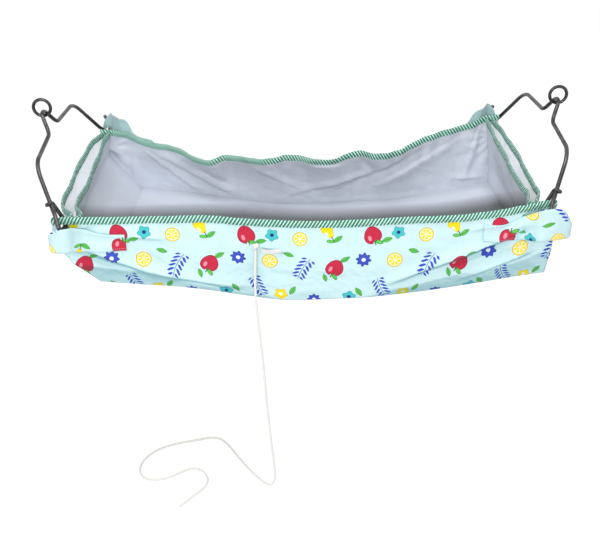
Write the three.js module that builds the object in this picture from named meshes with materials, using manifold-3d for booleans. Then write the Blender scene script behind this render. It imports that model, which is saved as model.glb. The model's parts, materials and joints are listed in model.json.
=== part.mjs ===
// Hanging baby cradle: a printed cotton trough with a plain lining, hung at each end from a bent
// round-steel bail and a steel ring, with a pull cord at the front. Millimetres, +Z up. X runs from
// the left ring to the right ring, and the front of the cradle faces -Y.
import * as THREE from 'three';
import { mergeVertices } from 'three/addons/utils/BufferGeometryUtils.js';
import Module from 'manifold-3d';

const wasm = await Module();
wasm.setup();

// Trough
const rimLength = 936;
const rimWidth = 460;
const leftRimDrop = 9;
const middleDepth = 198;
const leftEndDepth = 158;
const rightEndDepth = 165;
const leftBottomInset = 72;
const rightBottomInset = 3;
const backCornerInset = 17;
const earReach = 33;
const earDepth = 68;
const leftEndReach = 5;
const rightEndReach = 14;
const bottomReach = 5;
const outerCloth = 1.6;
const liningCloth = 1.2;
const seamGap = 0.3;
const baseGap = 0.8;
const strapGap = 0.5;
const strapEndGap = 0.9;

// How the cloth hangs between its corners
const frontRimSag = 27;
const backRimSag = 57;
const backRimBow = 66;
const backBottomBow = 22;
const earTuck = 10;
const frontBillow = 7;
const backBillow = 4;
const tuckSlope = 0.42;
const baseCrossSag = 9;
const leftEndBulge = 17;
const rightEndBulge = 9;
const leftEndSag = 5;
const rightEndSag = 8;
const leftPocketWidth = 33;
const rightPocketWidth = 26;
const pocketCornerWidth = 6;
const pocketDepth = 95;

// Binding tape folded over every free edge
const bindingHeight = 12;
const bindingTape = 1;

// Bails, rings and the hooks at the bails' feet
const wireRadius = 4;
const bailLean = 25.6;
const pivotInset = 24.5;
const pivotDrop = 29.5;
const footStandOff = 34;
const hookBend = 9;
const frontReturnInset = 21;
const frontReturnRise = 47;
const frontTipStandOff = 4;
const frontTipRise = 54;
const tipBend = 7;
const backReturnStandOff = 76;
const backReturnRise = 30;
const rimCrossStandOff = 2;
const rimCrossRise = 27.5;
const rimCrossBend = 29;
const shoulderInset = 58;
const shoulderRise = 114;
const shoulderBend = 61;
const dipOut = 34.5;
const dipRise = 122.5;
const dipBend = 25;
const eyeHalfWidth = 10;
const eyeRise = 159.5;
const ringOutside = 40;
const ringWire = 6.5;
const ringSeatGap = 0.3;

// Corner straps
const strapCloth = 1.5;
const strapWidth = 33;
const frontStrapTop = 44;
const backStrapTop = 19;
const strapBottom = 68;
const strapSewnStart = 61;
const strapSewnEnd = 135;
const strapEndSewn = 100;
const frontLoopStandOff = 28;
const backLoopStandOff = 42;
const leftLoopOverhang = 29;
const rightLoopOverhang = 49;
const backLoopOverhang = 14;
const leftLoopTop = 19;
const rightLoopTop = 3;
const backFlapTop = 17;
const outboardLoopTop = 42;
const buttonholeWidth = 14;
const buttonholeBelow = 8;
const buttonholeDepth = 30;

// Pull cord, its stopper knot and the tape stitched beside it
const cordDiameter = 5;
const knotDiameter = 13;
const knotTurns = 3;
const knotX = -92;
const knotDrop = 72;
const knotGap = 0.4;
const tapeLength = 38;
const tapeHeight = 10;
const tapeThickness = 1;
const tapeDrop = 80;
const tapeFromKnot = 3;

// Counts
const wallColumns = 28;
const baseRows = 5;
const wireSides = 10;
const bendSteps = 6;
const ringSegments = 28;
const cordSides = 8;
const cordSteps = 78;
const knotSides = 14;
const knotProfileSteps = 6;
const loopStations = 18;
const strapRows = 2;
const tapeColumns = 3;

// Shares of the length, and of the sag, bow or depth there
const frontSagShares = [[0, 0.23], [0.03, 0.16], [0.1, 0.13], [0.3, 0.28], [0.375, 0.57], [0.49, 0.92],
  [0.59, 1], [0.69, 0.92], [0.83, 0.83], [0.96, 0.25], [0.98, 0.2], [1, 0.23]];
const backSagShares = [[0, -0.05], [0.03, 0.02], [0.06, 0.11], [0.115, 0.38], [0.19, 0.6], [0.255, 1],
  [0.316, 0.87], [0.4, 1.05], [0.475, 0.94], [0.56, 1.13], [0.64, 0.88], [0.69, 1], [0.74, 0.92],
  [0.79, 0.65], [0.855, 0.41], [0.93, 0.19], [0.97, -0.03], [1, -0.08]];
const depthShares = [[0, 0], [0.08, 0.14], [0.17, 0.28], [0.25, 0.5], [0.36, 0.87], [0.44, 1],
  [0.55, 0.97], [0.7, 0.91], [0.85, 0.56], [0.956, 0.16], [1, 0]];
const creaseShares = [[0, 0.62], [0.1, 0.7], [0.22, 0.79], [0.34, 0.91], [0.42, 1], [0.58, 1],
  [0.67, 0.88], [0.78, 0.76], [0.9, 0.64], [1, 0.6]];
const wallRowShares = [0, 0.22, 0.42, 0.62, 0.8, 1];
const earColumnShares = [0, 0.015, 0.03, 0.045, 0.065, 0.09];
const middleStartShare = 0.12;
const earTuckShares = [[0, 1], [0.02, 0.85], [0.05, 0.35], [0.09, 0.04], [0.12, 0]];
const billowTaperShare = 0.5;

// Shares of an end panel's width from front to back, and how far its top still keeps the front corner's
// reach there
const leftBulgeShares = [[0, 0], [0.12, 0.05], [0.3, 0.45], [0.5, 0.8], [0.75, 1], [0.9, 0.78], [1, 0]];
const rightBulgeShares = [[0, 0], [0.1, 0.1], [0.2, -0.3], [0.4, 0.5], [0.6, 0.8], [0.8, 1], [1, 0]];
const endColumnShares = [
  0, 0.03, 0.055, 0.08, 0.11, 0.15, 0.22, 0.32, 0.44, 0.56, 0.68, 0.78, 0.86, 0.93, 1];
const endSwingShares = [[0, 1], [0.045, 1], [0.09, 0.45], [0.14, 0.06], [0.2, 0], [1, 0]];

// A strap's stations: along its wall, as pairs of shares of the way along X and of the way out to its
// loop, as pairs past the hook and back towards the end panel, and along the end panel
const strapFlatShares = [0, 0.2, 0.4, 0.6, 0.8];
const loopRiseShares = [[0.42, 0.38], [0.76, 0.9]];
const loopTurnShares = [[0.5, 0.04], [0.87, 0.3]];
const loopReturnShares = [[1, 0.8], [0.9, 1.4]];
const loopCloseShares = [0.46, 0.53, 0.6, 0.67];
const endSewnShares = [0.75, 0.83, 1];

// Shares of a strap's length, and of the way from its sewn height to its loop's
const loopTopShares = [[0, 0], [0.07, 0], [0.12, 0.25], [0.2, 0.6], [0.3, 0.93], [0.36, 1], [0.44, 0.85]];
const flapTopShares = [[0, 0], [0.09, 0], [0.14, 0.4], [0.19, 0.85], [0.24, 1], [0.32, 0.75], [0.4, 0.4]];
const strapFootShares = [[0, 0], [0.2, 0], [0.36, 1], [1, 1]];
const outboardStartShare = 0.54;

// A knot's turn and the groove between two turns, as shares of the cord's diameter
const knotTurnShare = 0.86;
const knotGrooveShare = 0.22;

const half = rimLength / 2;
const halfWidth = rimWidth / 2;
const wallThickness = outerCloth + seamGap + liningCloth;
const bindingWrap = seamGap + bindingTape;
const bindingZone = bindingHeight + bindingTape;
const pivotX = half - pivotInset;
const footOut = halfWidth + footStandOff;
const frontReturnOut = halfWidth - frontReturnInset;
const frontTipOut = halfWidth + frontTipStandOff;
const backReturnOut = halfWidth + backReturnStandOff;
const rimCrossOut = halfWidth + rimCrossStandOff;
const shoulderOut = halfWidth - shoulderInset;

const palette = {
  print: { color: 0xc9f3f4, roughness: 0.85 },
  lining: { color: 0xbfc4d4, roughness: 0.9 },
  binding: { color: 0x4f9c86, roughness: 0.8 },
  steel: { color: 0x6d6a68, roughness: 0.3, metalness: 0.9 },
  cord: { color: 0xece6dc, roughness: 0.9 },
};

function material(look) {
  return new THREE.MeshStandardMaterial({ metalness: 0, ...look });
}

// A smooth curve through hand-chosen pairs of share and value
function shareCurve(pairs) {
  const slope = pairs.map((pair, i) => {
    const before = pairs[Math.max(i - 1, 0)];
    const after = pairs[Math.min(i + 1, pairs.length - 1)];
    return (after[1] - before[1]) / (after[0] - before[0]);
  });
  return (share) => {
    const t = THREE.MathUtils.clamp(share, pairs[0][0], pairs[pairs.length - 1][0]);
    let i = 0;
    while (i < pairs.length - 2 && t > pairs[i + 1][0]) i += 1;
    const span = pairs[i + 1][0] - pairs[i][0];
    const s = (t - pairs[i][0]) / span;
    const rise = s * s * (3 - 2 * s);
    return pairs[i][1] * (1 - rise) + pairs[i + 1][1] * rise
      + span * s * (1 - s) * (slope[i] * (1 - s) - slope[i + 1] * s);
  };
}

const frontSag = shareCurve(frontSagShares);
const backSag = shareCurve(backSagShares);
const depthCurve = shareCurve(depthShares);
const creaseCurve = shareCurve(creaseShares);
const tuckCurve = shareCurve(earTuckShares);
const leftBulge = shareCurve(leftBulgeShares);
const rightBulge = shareCurve(rightBulgeShares);
const endSwing = shareCurve(endSwingShares);

// A form as built, which is straight from one share of its table to the next
function between(shares, share, form) {
  let i = 0;
  while (i < shares.length - 2 && share > shares[i + 1]) i += 1;
  return THREE.MathUtils.mapLinear(share, shares[i], shares[i + 1], form(shares[i]), form(shares[i + 1]));
}

// Zero at both ends of a span and one at its middle
const hump = (share) => 4 * share * (1 - share);

// Closed solids

function solidGeometry(positions, indices) {
  const geometry = new THREE.BufferGeometry();
  const numbers = positions.flatMap((point) => point.toArray());
  geometry.setAttribute('position', new THREE.Float32BufferAttribute(numbers, 3));
  const triple = new THREE.Vector3();
  let volume = 0;
  for (let i = 0; i < indices.length; i += 3) {
    triple.crossVectors(positions[indices[i + 1]], positions[indices[i + 2]]);
    volume += positions[indices[i]].dot(triple);
  }
  geometry.setIndex(volume < 0 ? indices.slice().reverse() : indices);
  return geometry;
}

// A sheet from two grids of points, its two faces, joined round the edge
function sheetSolid(faceA, faceB) {
  const rows = faceA.length;
  const columns = faceA[0].length;
  const count = rows * columns;
  const at = (row, column) => row * columns + column;
  const indices = [];
  const quad = (a, b, c, d) => indices.push(a, b, c, a, c, d);
  for (let row = 0; row < rows - 1; row += 1) {
    for (let column = 0; column < columns - 1; column += 1) {
      const a = at(row, column);
      const b = at(row, column + 1);
      const c = at(row + 1, column + 1);
      const d = at(row + 1, column);
      quad(a, b, c, d);
      quad(a + count, d + count, c + count, b + count);
    }
  }
  const rim = [];
  for (let column = 0; column < columns - 1; column += 1) rim.push(at(0, column));
  for (let row = 0; row < rows - 1; row += 1) rim.push(at(row, columns - 1));
  for (let column = columns - 1; column > 0; column -= 1) rim.push(at(rows - 1, column));
  for (let row = rows - 1; row > 0; row -= 1) rim.push(at(row, 0));
  rim.forEach((from, i) => {
    const to = rim[(i + 1) % rim.length];
    quad(to, from, from + count, to + count);
  });
  return solidGeometry([...faceA.flat(), ...faceB.flat()], indices);
}

// A body through a row of equal closed sections, capped at both ends as their flat outline is
function loftSolid(sections, outline) {
  const size = sections[0].length;
  const indices = [];
  for (let i = 0; i < sections.length - 1; i += 1) {
    for (let j = 0; j < size; j += 1) {
      const a = i * size + j;
      const b = i * size + ((j + 1) % size);
      indices.push(a, b, b + size, a, b + size, a + size);
    }
  }
  const last = (sections.length - 1) * size;
  THREE.ShapeUtils.triangulateShape(outline, []).forEach(([a, b, c]) => {
    indices.push(a, c, b);
    indices.push(last + a, last + b, last + c);
  });
  return solidGeometry(sections.flat(), indices);
}

function toManifold(geometry) {
  const bare = mergeVertices(geometry.clone().deleteAttribute('normal').deleteAttribute('uv'));
  return new wasm.Manifold(new wasm.Mesh({
    numProp: 3,
    vertProperties: new Float32Array(bare.attributes.position.array),
    triVerts: new Uint32Array(bare.index.array),
  }));
}

function cutBy(geometry, cutter) {
  const mesh = toManifold(geometry).subtract(toManifold(cutter)).getMesh();
  const result = new THREE.BufferGeometry();
  result.setAttribute('position', new THREE.BufferAttribute(mesh.vertProperties, 3));
  result.setIndex(new THREE.BufferAttribute(mesh.triVerts, 1));
  return result;
}

// The long walls: side is -1 at the front and 1 at the back, u runs from left to right

const middleShares = Array.from({ length: wallColumns + 1 }, (_, i) => (
  THREE.MathUtils.lerp(middleStartShare, 1 - middleStartShare, i / wallColumns)));
const wallShares = [
  ...earColumnShares, ...middleShares, ...earColumnShares.map((share) => 1 - share).reverse(),
];
const wallRows = [-1, ...wallRowShares];

function rimHeight(side, u) {
  const sag = side < 0 ? frontRimSag * frontSag(u) : backRimSag * backSag(u);
  return -leftRimDrop * (1 - u) - sag;
}

function bottomHeight(u) {
  const ends = THREE.MathUtils.lerp(leftEndDepth, rightEndDepth, u);
  return -THREE.MathUtils.lerp(ends, middleDepth, depthCurve(u));
}

// Outer face's distance from the middle plane, at a share t of the height below the binding
function wallForm(side, u, t) {
  const out = halfWidth - earTuck * tuckCurve(Math.min(u, 1 - u)) * (1 - t);
  if (side < 0) {
    const past = Math.max(0, t - creaseCurve(u));
    const billow = Math.sin(t * Math.PI) * (1 - t * billowTaperShare);
    return out + frontBillow * hump(u) * billow - tuckSlope * past * (-bottomHeight(u) - bindingZone);
  }
  const bow = THREE.MathUtils.lerp(backRimBow, backBottomBow, t) * Math.max(backSag(u), 0);
  return out - bow + backBillow * hump(u) * Math.sin(t * Math.PI);
}

// The same on the panel as built
function wallOut(side, u, t) {
  return between(wallShares, u, (column) => (
    between(wallRowShares, t, (row) => wallForm(side, column, row))));
}

// How far a height has come on the way from the ears to an end's foot
function pastEar(end, height) {
  const depth = end < 0 ? leftEndDepth : rightEndDepth;
  return THREE.MathUtils.clamp((-height - earDepth) / (depth - earDepth), 0, 1);
}

// The walls' ends, at a share s of the way from the front wall to the shorter back wall
function edgeX(end, height, s) {
  const inset = end < 0 ? leftBottomInset : rightBottomInset;
  return end * (half - backCornerInset * s - inset * pastEar(end, height));
}

function shareAt(x, height, side) {
  const s = side < 0 ? 0 : 1;
  const left = edgeX(-1, height, s);
  return (x - left) / (edgeX(1, height, s) - left);
}

// The share of the height below the binding that a height on a wall lies at
function wallShare(side, u, height) {
  const top = rimHeight(side, u) - bindingZone;
  return THREE.MathUtils.clamp((top - height) / (top - bottomHeight(u)), 0, 1);
}

// The height of a row of a panel; only its foot is lifted
function heightAt(top, bottom, t, lift) {
  if (t < 0) return top;
  return t < 1 ? THREE.MathUtils.lerp(top - bindingZone, bottom, t) : bottom + lift;
}

// A point on a wall: t below zero is in the binding zone, inward is the depth into the cloth
function wallPoint(side, u, t, inward, lift) {
  const top = rimHeight(side, u);
  const height = heightAt(top, bottomHeight(u), t, lift);
  const bound = Math.min(height, top - bindingZone);
  const s = side < 0 ? 0 : 1;
  const x = THREE.MathUtils.lerp(edgeX(-1, bound, s), edgeX(1, bound, s), u);
  const out = wallOut(side, u, wallShare(side, u, height)) - inward;
  return new THREE.Vector3(x, side * out, height);
}

function wallPanel(side, inward, thickness, lift) {
  const face = (depth) => wallRows.map((t) => wallShares.map((u) => wallPoint(side, u, t, depth, lift)));
  return sheetSolid(face(inward), face(inward + thickness));
}

// The end panels: end is -1 at the left and 1 at the right, s runs from front to back

function endX(end, height, s) {
  const reach = THREE.MathUtils.lerp(end < 0 ? leftEndReach : rightEndReach, earReach, endSwing(s));
  return edgeX(end, height, s) - end * THREE.MathUtils.lerp(reach, bottomReach, pastEar(end, height));
}

const endBulge = (end, s) => (end < 0 ? leftEndBulge * leftBulge(s) : rightEndBulge * rightBulge(s));
const endSag = (end) => (end < 0 ? leftEndSag : rightEndSag);

const cornerShare = (end) => shareAt(endX(end, -earDepth, 0), -earDepth, -1);
const footShare = (end) => shareAt(endX(end, -middleDepth, 0), -middleDepth, -1);

function endTop(end, s) {
  const corner = cornerShare(end);
  return THREE.MathUtils.lerp(rimHeight(-1, corner), rimHeight(1, corner), s) - endSag(end) * hump(s);
}

function endPoint(end, s, t, inward, lift) {
  const height = heightAt(endTop(end, s), bottomHeight(footShare(end)), t, lift);
  const below = Math.max(t, 0);
  const sideClear = wallThickness + bindingWrap + seamGap;
  const deepest = inward(0, below) + outerCloth + 2 * bindingWrap;
  const reachTo = (side) => Math.min(...[-bindingWrap, deepest].map((depth) => {
    const u = shareAt(endX(end, height, side < 0 ? 0 : 1) - end * depth, height, side);
    return wallOut(side, u, wallShare(side, u, height));
  })) - sideClear;
  const x = endX(end, height, s) + end * (endBulge(end, s) * (1 - below) - inward(s, below));
  return new THREE.Vector3(x, THREE.MathUtils.lerp(-reachTo(-1), reachTo(1), s), height);
}

function endPanel(end, inward, thickness, lift) {
  const face = (depth) => wallRows.map((t) => endColumnShares.map((s) => (
    endPoint(end, s, t, (sHere, tHere) => inward(sHere, tHere) + depth, lift))));
  return sheetSolid(face(0), face(thickness));
}

const flush = () => 0;

// The lining hangs free of the outer end panel as an open pocket, which closes towards its foot
const pocket = (end) => (s, t) => {
  const width = end < 0 ? leftPocketWidth : rightPocketWidth;
  const mouth = THREE.MathUtils.lerp(pocketCornerWidth, width, Math.sqrt(hump(s)));
  const closed = Math.min(1, (t * (leftEndDepth - bindingZone)) / pocketDepth);
  return outerCloth + THREE.MathUtils.lerp(mouth, baseGap, closed);
};

// The base lies between the walls, resting share w from front to back

function basePanel(sideClear, endInward, lift, thickness) {
  const inset = (end, s) => (
    shareAt(endPoint(end, s, 1, endInward, 0).x - end * baseGap, -middleDepth, s > 0 ? 1 : -1));
  const from = Math.max(inset(-1, 0), inset(-1, 1));
  const to = Math.min(inset(1, 0), inset(1, 1));
  const shares = [from, ...wallShares.filter((u) => u > from && u < to), to];
  const face = (extra) => Array.from({ length: baseRows + 1 }, (_, i) => i / baseRows).map((w) => (
    shares.map((u) => {
      const front = wallPoint(-1, u, 1, sideClear, 0);
      const back = wallPoint(1, u, 1, sideClear, 0);
      const point = new THREE.Vector3().lerpVectors(front, back, w);
      point.z += lift + extra - baseCrossSag * hump(w) * hump(u);
      return point;
    })));
  return sheetSolid(face(0), face(thickness));
}

// Binding tape: a U of tape over an edge, drawn as distance across the edge and height
function bindingSection(clothThickness) {
  const outer = bindingWrap;
  const inner = -clothThickness - bindingWrap;
  return [
    [outer, -bindingHeight], [outer, bindingWrap], [inner, bindingWrap], [inner, -bindingHeight],
    [inner + bindingTape, -bindingHeight], [inner + bindingTape, seamGap],
    [outer - bindingTape, seamGap], [outer - bindingTape, -bindingHeight],
  ].map((corner) => new THREE.Vector2(...corner));
}

function rimBinding(side) {
  const section = bindingSection(wallThickness);
  const sections = wallShares.map((u) => {
    const rim = wallPoint(side, u, -1, 0, 0);
    return section.map((corner) => new THREE.Vector3(0, side * corner.x, corner.y).add(rim));
  });
  return loftSolid(sections, section);
}

function endBinding(end, inward, thickness, lift) {
  const section = bindingSection(thickness);
  const sections = endColumnShares.map((s) => {
    const rim = endPoint(end, s, -1, inward, lift);
    return section.map((corner) => new THREE.Vector3(end * corner.x, 0, corner.y).add(rim));
  });
  return loftSolid(sections, section);
}

// Bails: one bent wire, drawn in its own plane as pairs of Y and rise above the hooks' bars

function bentLine(corners) {
  const points = [corners[0].at];
  for (let i = 1; i < corners.length - 1; i += 1) {
    const { at, bend } = corners[i];
    const back = corners[i - 1].at.clone().sub(at).normalize();
    const ahead = corners[i + 1].at.clone().sub(at).normalize();
    const halfAngle = Math.acos(THREE.MathUtils.clamp(back.dot(ahead), -1, 1)) / 2;
    const reach = bend / Math.tan(halfAngle);
    const centre = back.clone().add(ahead).normalize().multiplyScalar(bend / Math.sin(halfAngle)).add(at);
    const start = back.clone().multiplyScalar(reach).add(at).sub(centre);
    const sweep = (Math.PI - 2 * halfAngle) * Math.sign(back.cross(ahead)) * -1;
    for (let step = 0; step <= bendSteps; step += 1) {
      points.push(start.clone().rotateAround(new THREE.Vector2(), (sweep * step) / bendSteps).add(centre));
    }
  }
  points.push(corners[corners.length - 1].at);
  return points;
}

function bailLine() {
  const corner = (y, rise, bend = 0) => ({ at: new THREE.Vector2(y, rise), bend });
  const arch = (side) => [
    corner(side * footOut, 0, hookBend),
    corner(side * rimCrossOut, rimCrossRise, rimCrossBend),
    corner(side * shoulderOut, shoulderRise, shoulderBend),
    corner(side * dipOut, dipRise, dipBend),
    corner(side * eyeHalfWidth, eyeRise, eyeBend()),
  ];
  return bentLine([
    corner(-frontTipOut, frontTipRise),
    corner(-frontReturnOut, frontReturnRise, tipBend),
    corner(-frontReturnOut, 0, hookBend),
    ...arch(-1),
    ...arch(1).reverse(),
    corner(backReturnOut, 0, hookBend),
    corner(backReturnOut, backReturnRise),
  ]);
}

// The widest bend that lets the eye's two corners meet at its top
function eyeBend() {
  const leg = new THREE.Vector2(dipOut - eyeHalfWidth, dipRise - eyeRise).angle();
  const halfAngle = (Math.PI - (2 * Math.PI - leg)) / 2;
  return eyeHalfWidth * Math.tan(halfAngle);
}

function bailWire(end) {
  const line = bailLine();
  const lean = THREE.MathUtils.degToRad(bailLean) * end;
  const up = new THREE.Vector3(Math.sin(lean), 0, Math.cos(lean));
  const across = new THREE.Vector3(Math.cos(lean), 0, -Math.sin(lean));
  const foot = new THREE.Vector3(end * pivotX, 0, -pivotDrop);
  const place = (point) => new THREE.Vector3(0, point.x, 0).addScaledVector(up, point.y).add(foot);
  const round = Array.from({ length: wireSides }, (_, j) => {
    const angle = (j * 2 * Math.PI) / wireSides;
    return new THREE.Vector2(Math.cos(angle), Math.sin(angle)).multiplyScalar(wireRadius);
  });
  const sections = line.map((point, i) => {
    const before = line[Math.max(i - 1, 0)];
    const after = line[Math.min(i + 1, line.length - 1)];
    const along = after.clone().sub(before).normalize();
    const side = new THREE.Vector2(-along.y, along.x);
    return round.map((corner) => {
      const inPlane = side.clone().multiplyScalar(corner.x).add(point);
      return place(inPlane).addScaledVector(across, corner.y);
    });
  });
  return loftSolid(sections, round);
}

// The eye's top in the rim's frame, and the ring that hangs in it
function eyeTop(end) {
  const lean = THREE.MathUtils.degToRad(bailLean);
  const x = pivotX + eyeRise * Math.sin(lean);
  return new THREE.Vector3(end * x, 0, eyeRise * Math.cos(lean) - pivotDrop);
}

const ringRadius = (ringOutside - ringWire) / 2;

function ringCentre(end) {
  const centre = eyeTop(end);
  centre.z += ringRadius - wireRadius - ringWire / 2 - ringSeatGap;
  return centre;
}

function ringWireGeometry() {
  return new THREE.TorusGeometry(ringRadius, ringWire / 2, wireSides, ringSegments);
}

// Corner straps: sewn flat on a long wall, round the hook in a standing loop, and sewn to the end panel

// Places down the strap's height on the end panel, and the panel's outer face there
const endDrops = [outboardLoopTop, (outboardLoopTop + strapBottom) / 2, strapBottom];

function endFace(end, s, height) {
  const foot = bottomHeight(footShare(end));
  const t = THREE.MathUtils.mapLinear(height, endTop(end, s) - bindingZone, foot, 0, 1);
  return between(wallRowShares, t, (row) => end * endPoint(end, s, row, flush, 0).x);
}

const strapOut = (side) => halfWidth + (side < 0 ? frontLoopStandOff : backLoopStandOff);

function loopOverhang(end, side) {
  if (side > 0) return backLoopOverhang;
  return end < 0 ? leftLoopOverhang : rightLoopOverhang;
}

function strapPath(end, side, drop) {
  const clear = side < 0 ? strapGap : bindingWrap + strapGap;
  const wallAt = (x) => {
    const u = shareAt(end * x, -drop, side);
    return wallOut(side, u, wallShare(side, u, -drop)) + clear;
  };
  const onEnd = (out) => {
    const s = (halfWidth + side * out) / rimWidth;
    return strapEndGap + between(endColumnShares, s, (column) => (
      Math.max(...endDrops.map((drop) => endFace(end, column, -drop)))));
  };
  const loopOut = strapOut(side);
  const loopX = pivotX + loopOverhang(end, side);
  const start = half - strapSewnStart;
  const finish = half - strapSewnEnd;
  const { lerp } = THREE.MathUtils;
  const sewnAt = (share) => {
    const x = lerp(finish, start, share);
    return new THREE.Vector2(x, wallAt(x));
  };
  const onEndAt = (share) => {
    const out = halfWidth - strapEndSewn * share;
    return new THREE.Vector2(onEnd(out), out);
  };
  const rise = loopOut - wallAt(start);
  const risingAt = ([along, out]) => (
    new THREE.Vector2(lerp(start, pivotX, along), wallAt(start) + rise * out));
  const turningAt = ([along, back]) => (
    new THREE.Vector2(lerp(pivotX, loopX, along), loopOut - rise * back));
  const returningAt = ([along, back]) => (
    new THREE.Vector2(lerp(pivotX, loopX, along), lerp(loopOut, halfWidth, back)));
  const round = new THREE.SplineCurve([
    sewnAt(1),
    ...loopRiseShares.map(risingAt),
    new THREE.Vector2(pivotX, loopOut),
    ...loopTurnShares.map(turningAt),
    ...loopReturnShares.map(returningAt),
    ...loopCloseShares.map(onEndAt),
  ]);
  return [
    ...strapFlatShares.map(sewnAt),
    ...round.getSpacedPoints(loopStations),
    ...endSewnShares.map(onEndAt),
  ];
}

// The strap's two edges below the rim, along its stations; a back strap stands up as a flap
function strapEdges(end, side) {
  const sewn = side < 0 ? frontStrapTop : backStrapTop;
  const loopTop = end < 0 ? leftLoopTop : rightLoopTop;
  const peak = side < 0 ? loopTop : -backFlapTop;
  const topShares = side < 0 ? loopTopShares : flapTopShares;
  const drops = (pairs, from, to) => (
    pairs.map(([along, share]) => [along, THREE.MathUtils.lerp(from, to, share)]));
  const outboard = [[outboardStartShare, outboardLoopTop], [1, outboardLoopTop]];
  const top = shareCurve([...drops(topShares, sewn, peak), ...outboard]);
  const bottom = shareCurve(drops(strapFootShares, sewn + strapWidth, strapBottom));
  return { sewn, top, bottom };
}

function strapSolid(end, side) {
  const { sewn, top, bottom } = strapEdges(end, side);
  const rows = Array.from({ length: strapRows + 1 }, (_, row) => row / strapRows);
  const paths = rows.map((share) => strapPath(end, side, sewn + strapWidth * share));
  const stations = paths[0].length;
  const face = (offset) => paths.map((path, row) => path.map((point, i) => {
    const before = path[Math.max(i - 1, 0)];
    const after = path[Math.min(i + 1, stations - 1)];
    const along = after.clone().sub(before).normalize();
    const off = new THREE.Vector2(-along.y, along.x).multiplyScalar(offset).add(point);
    const share = i / (stations - 1);
    const drop = THREE.MathUtils.lerp(top(share), bottom(share), rows[row]);
    return new THREE.Vector3(end * off.x, side * off.y, -drop);
  }));
  const strap = sheetSolid(face(0), face(strapCloth));
  return side < 0 ? strap : cutBy(strap, buttonhole(end, side * strapOut(side)));
}

// The hole that a hook's bar passes through; the cloth rests on the bar at the hole's top
function buttonhole(end, y) {
  const top = -pivotDrop + wireRadius + seamGap;
  const bottom = -pivotDrop - buttonholeBelow;
  const hole = new THREE.BoxGeometry(buttonholeWidth, buttonholeDepth, top - bottom);
  return hole.translate(end * pivotX, y, (top + bottom) / 2);
}

function withEarHoles(wall) {
  return [-1, 1].reduce((cloth, end) => cutBy(cloth, buttonhole(end, -halfWidth)), wall);
}

// Pull cord: its route in the part's own frame, from the knot down to the floor and along it
const cordRoute = [
  [420, -241, -216.5], [419.5, -241, -229], [417.5, -241, -262], [416, -241, -311],
  [418, -241, -367.5], [421, -240, -422.5], [424, -240, -477.5], [426, -240, -532.5],
  [428, -239, -587.5], [431, -238, -642.5], [434, -237, -697.5], [437, -236, -742.5],
  [438, -236, -772.5], [435, -237, -790.5], [427, -235, -801.5], [415, -225, -805], [389, -194, -805],
  [353, -138, -805], [327, -94, -805], [311, -75, -805], [291, -67, -805], [251, -74, -805],
  [195, -89, -805], [157, -112, -805], [137, -142, -805], [133, -170, -805], [141, -192, -805],
  [159, -204, -805], [189, -203, -805], [212, -193, -805], [235, -178, -805], [255, -172, -805],
  [273, -180, -805], [286, -201, -805], [287, -221, -805], [278, -239, -805], [257, -264, -805],
  [234, -290, -805],
];

function pullCord() {
  const route = new THREE.CatmullRomCurve3(cordRoute.map((point) => new THREE.Vector3(...point)));
  const section = new THREE.Shape(Array.from({ length: cordSides }, (_, j) => {
    const angle = (j * 2 * Math.PI) / cordSides;
    return new THREE.Vector2(Math.cos(angle), Math.sin(angle)).multiplyScalar(cordDiameter / 2);
  }));
  return new THREE.ExtrudeGeometry(section, { steps: cordSteps, extrudePath: route, curveSegments: 1 });
}

// Distance of the front wall's outer face from the middle plane at a place on it
function frontOut(x, height) {
  const u = shareAt(x, height, -1);
  return wallOut(-1, u, wallShare(-1, u, height));
}

function knotLathe() {
  const turn = cordDiameter * knotTurnShare;
  const height = turn * knotTurns;
  const waist = knotDiameter / 2 - cordDiameter * knotGrooveShare;
  const profile = [new THREE.Vector2(0, -height / 2)];
  for (let i = 0; i < knotTurns; i += 1) {
    for (let j = 0; j < knotProfileSteps; j += 1) {
      const share = (j + 0.5) / knotProfileSteps;
      const radius = waist + (knotDiameter / 2 - waist) * hump(share);
      profile.push(new THREE.Vector2(radius, -height / 2 + turn * (i + share)));
    }
  }
  profile.push(new THREE.Vector2(0, height / 2));
  const lathe = new THREE.LatheGeometry(profile, knotSides);
  return lathe.rotateX(Math.PI / 2);
}

function cordTape() {
  const start = knotX + knotDiameter / 2 + tapeFromKnot;
  const xs = Array.from({ length: tapeColumns + 1 }, (_, i) => start + (tapeLength * i) / tapeColumns);
  const face = (extra) => [tapeDrop, tapeDrop + tapeHeight].map((drop) => xs.map((x) => (
    new THREE.Vector3(x, -frontOut(x, -drop) - strapGap - extra, -drop))));
  return sheetSolid(face(0), face(tapeThickness));
}

// The assembly: the cradle's pieces are drawn about the middle of the rim, and the group moves them
// so that the left ring's inner top is the origin

const group = new THREE.Group();
const cradle = new THREE.Group();
const hangPoint = ringCentre(-1);
hangPoint.z += ringRadius - ringWire / 2;
cradle.position.copy(hangPoint).negate();
group.add(cradle);

function add(name, geometry, look, parent = cradle) {
  const mesh = new THREE.Mesh(geometry, material(look));
  mesh.name = name;
  parent.add(mesh);
  return mesh;
}

const liningInward = outerCloth + seamGap;
const liningLift = outerCloth + seamGap;
const sideNames = { '-1': 'front', 1: 'back' };
const endNames = { '-1': 'left', 1: 'right' };

for (const side of [-1, 1]) {
  const name = sideNames[side];
  const outer = wallPanel(side, 0, outerCloth, 0);
  const inner = wallPanel(side, liningInward, liningCloth, liningLift);
  add(`outer_${name}_panel`, side < 0 ? withEarHoles(outer) : outer, palette.print);
  add(`lining_${name}_panel`, side < 0 ? withEarHoles(inner) : inner, palette.lining);
  add(`${name}_rim_binding`, rimBinding(side), palette.binding);
}

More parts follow.
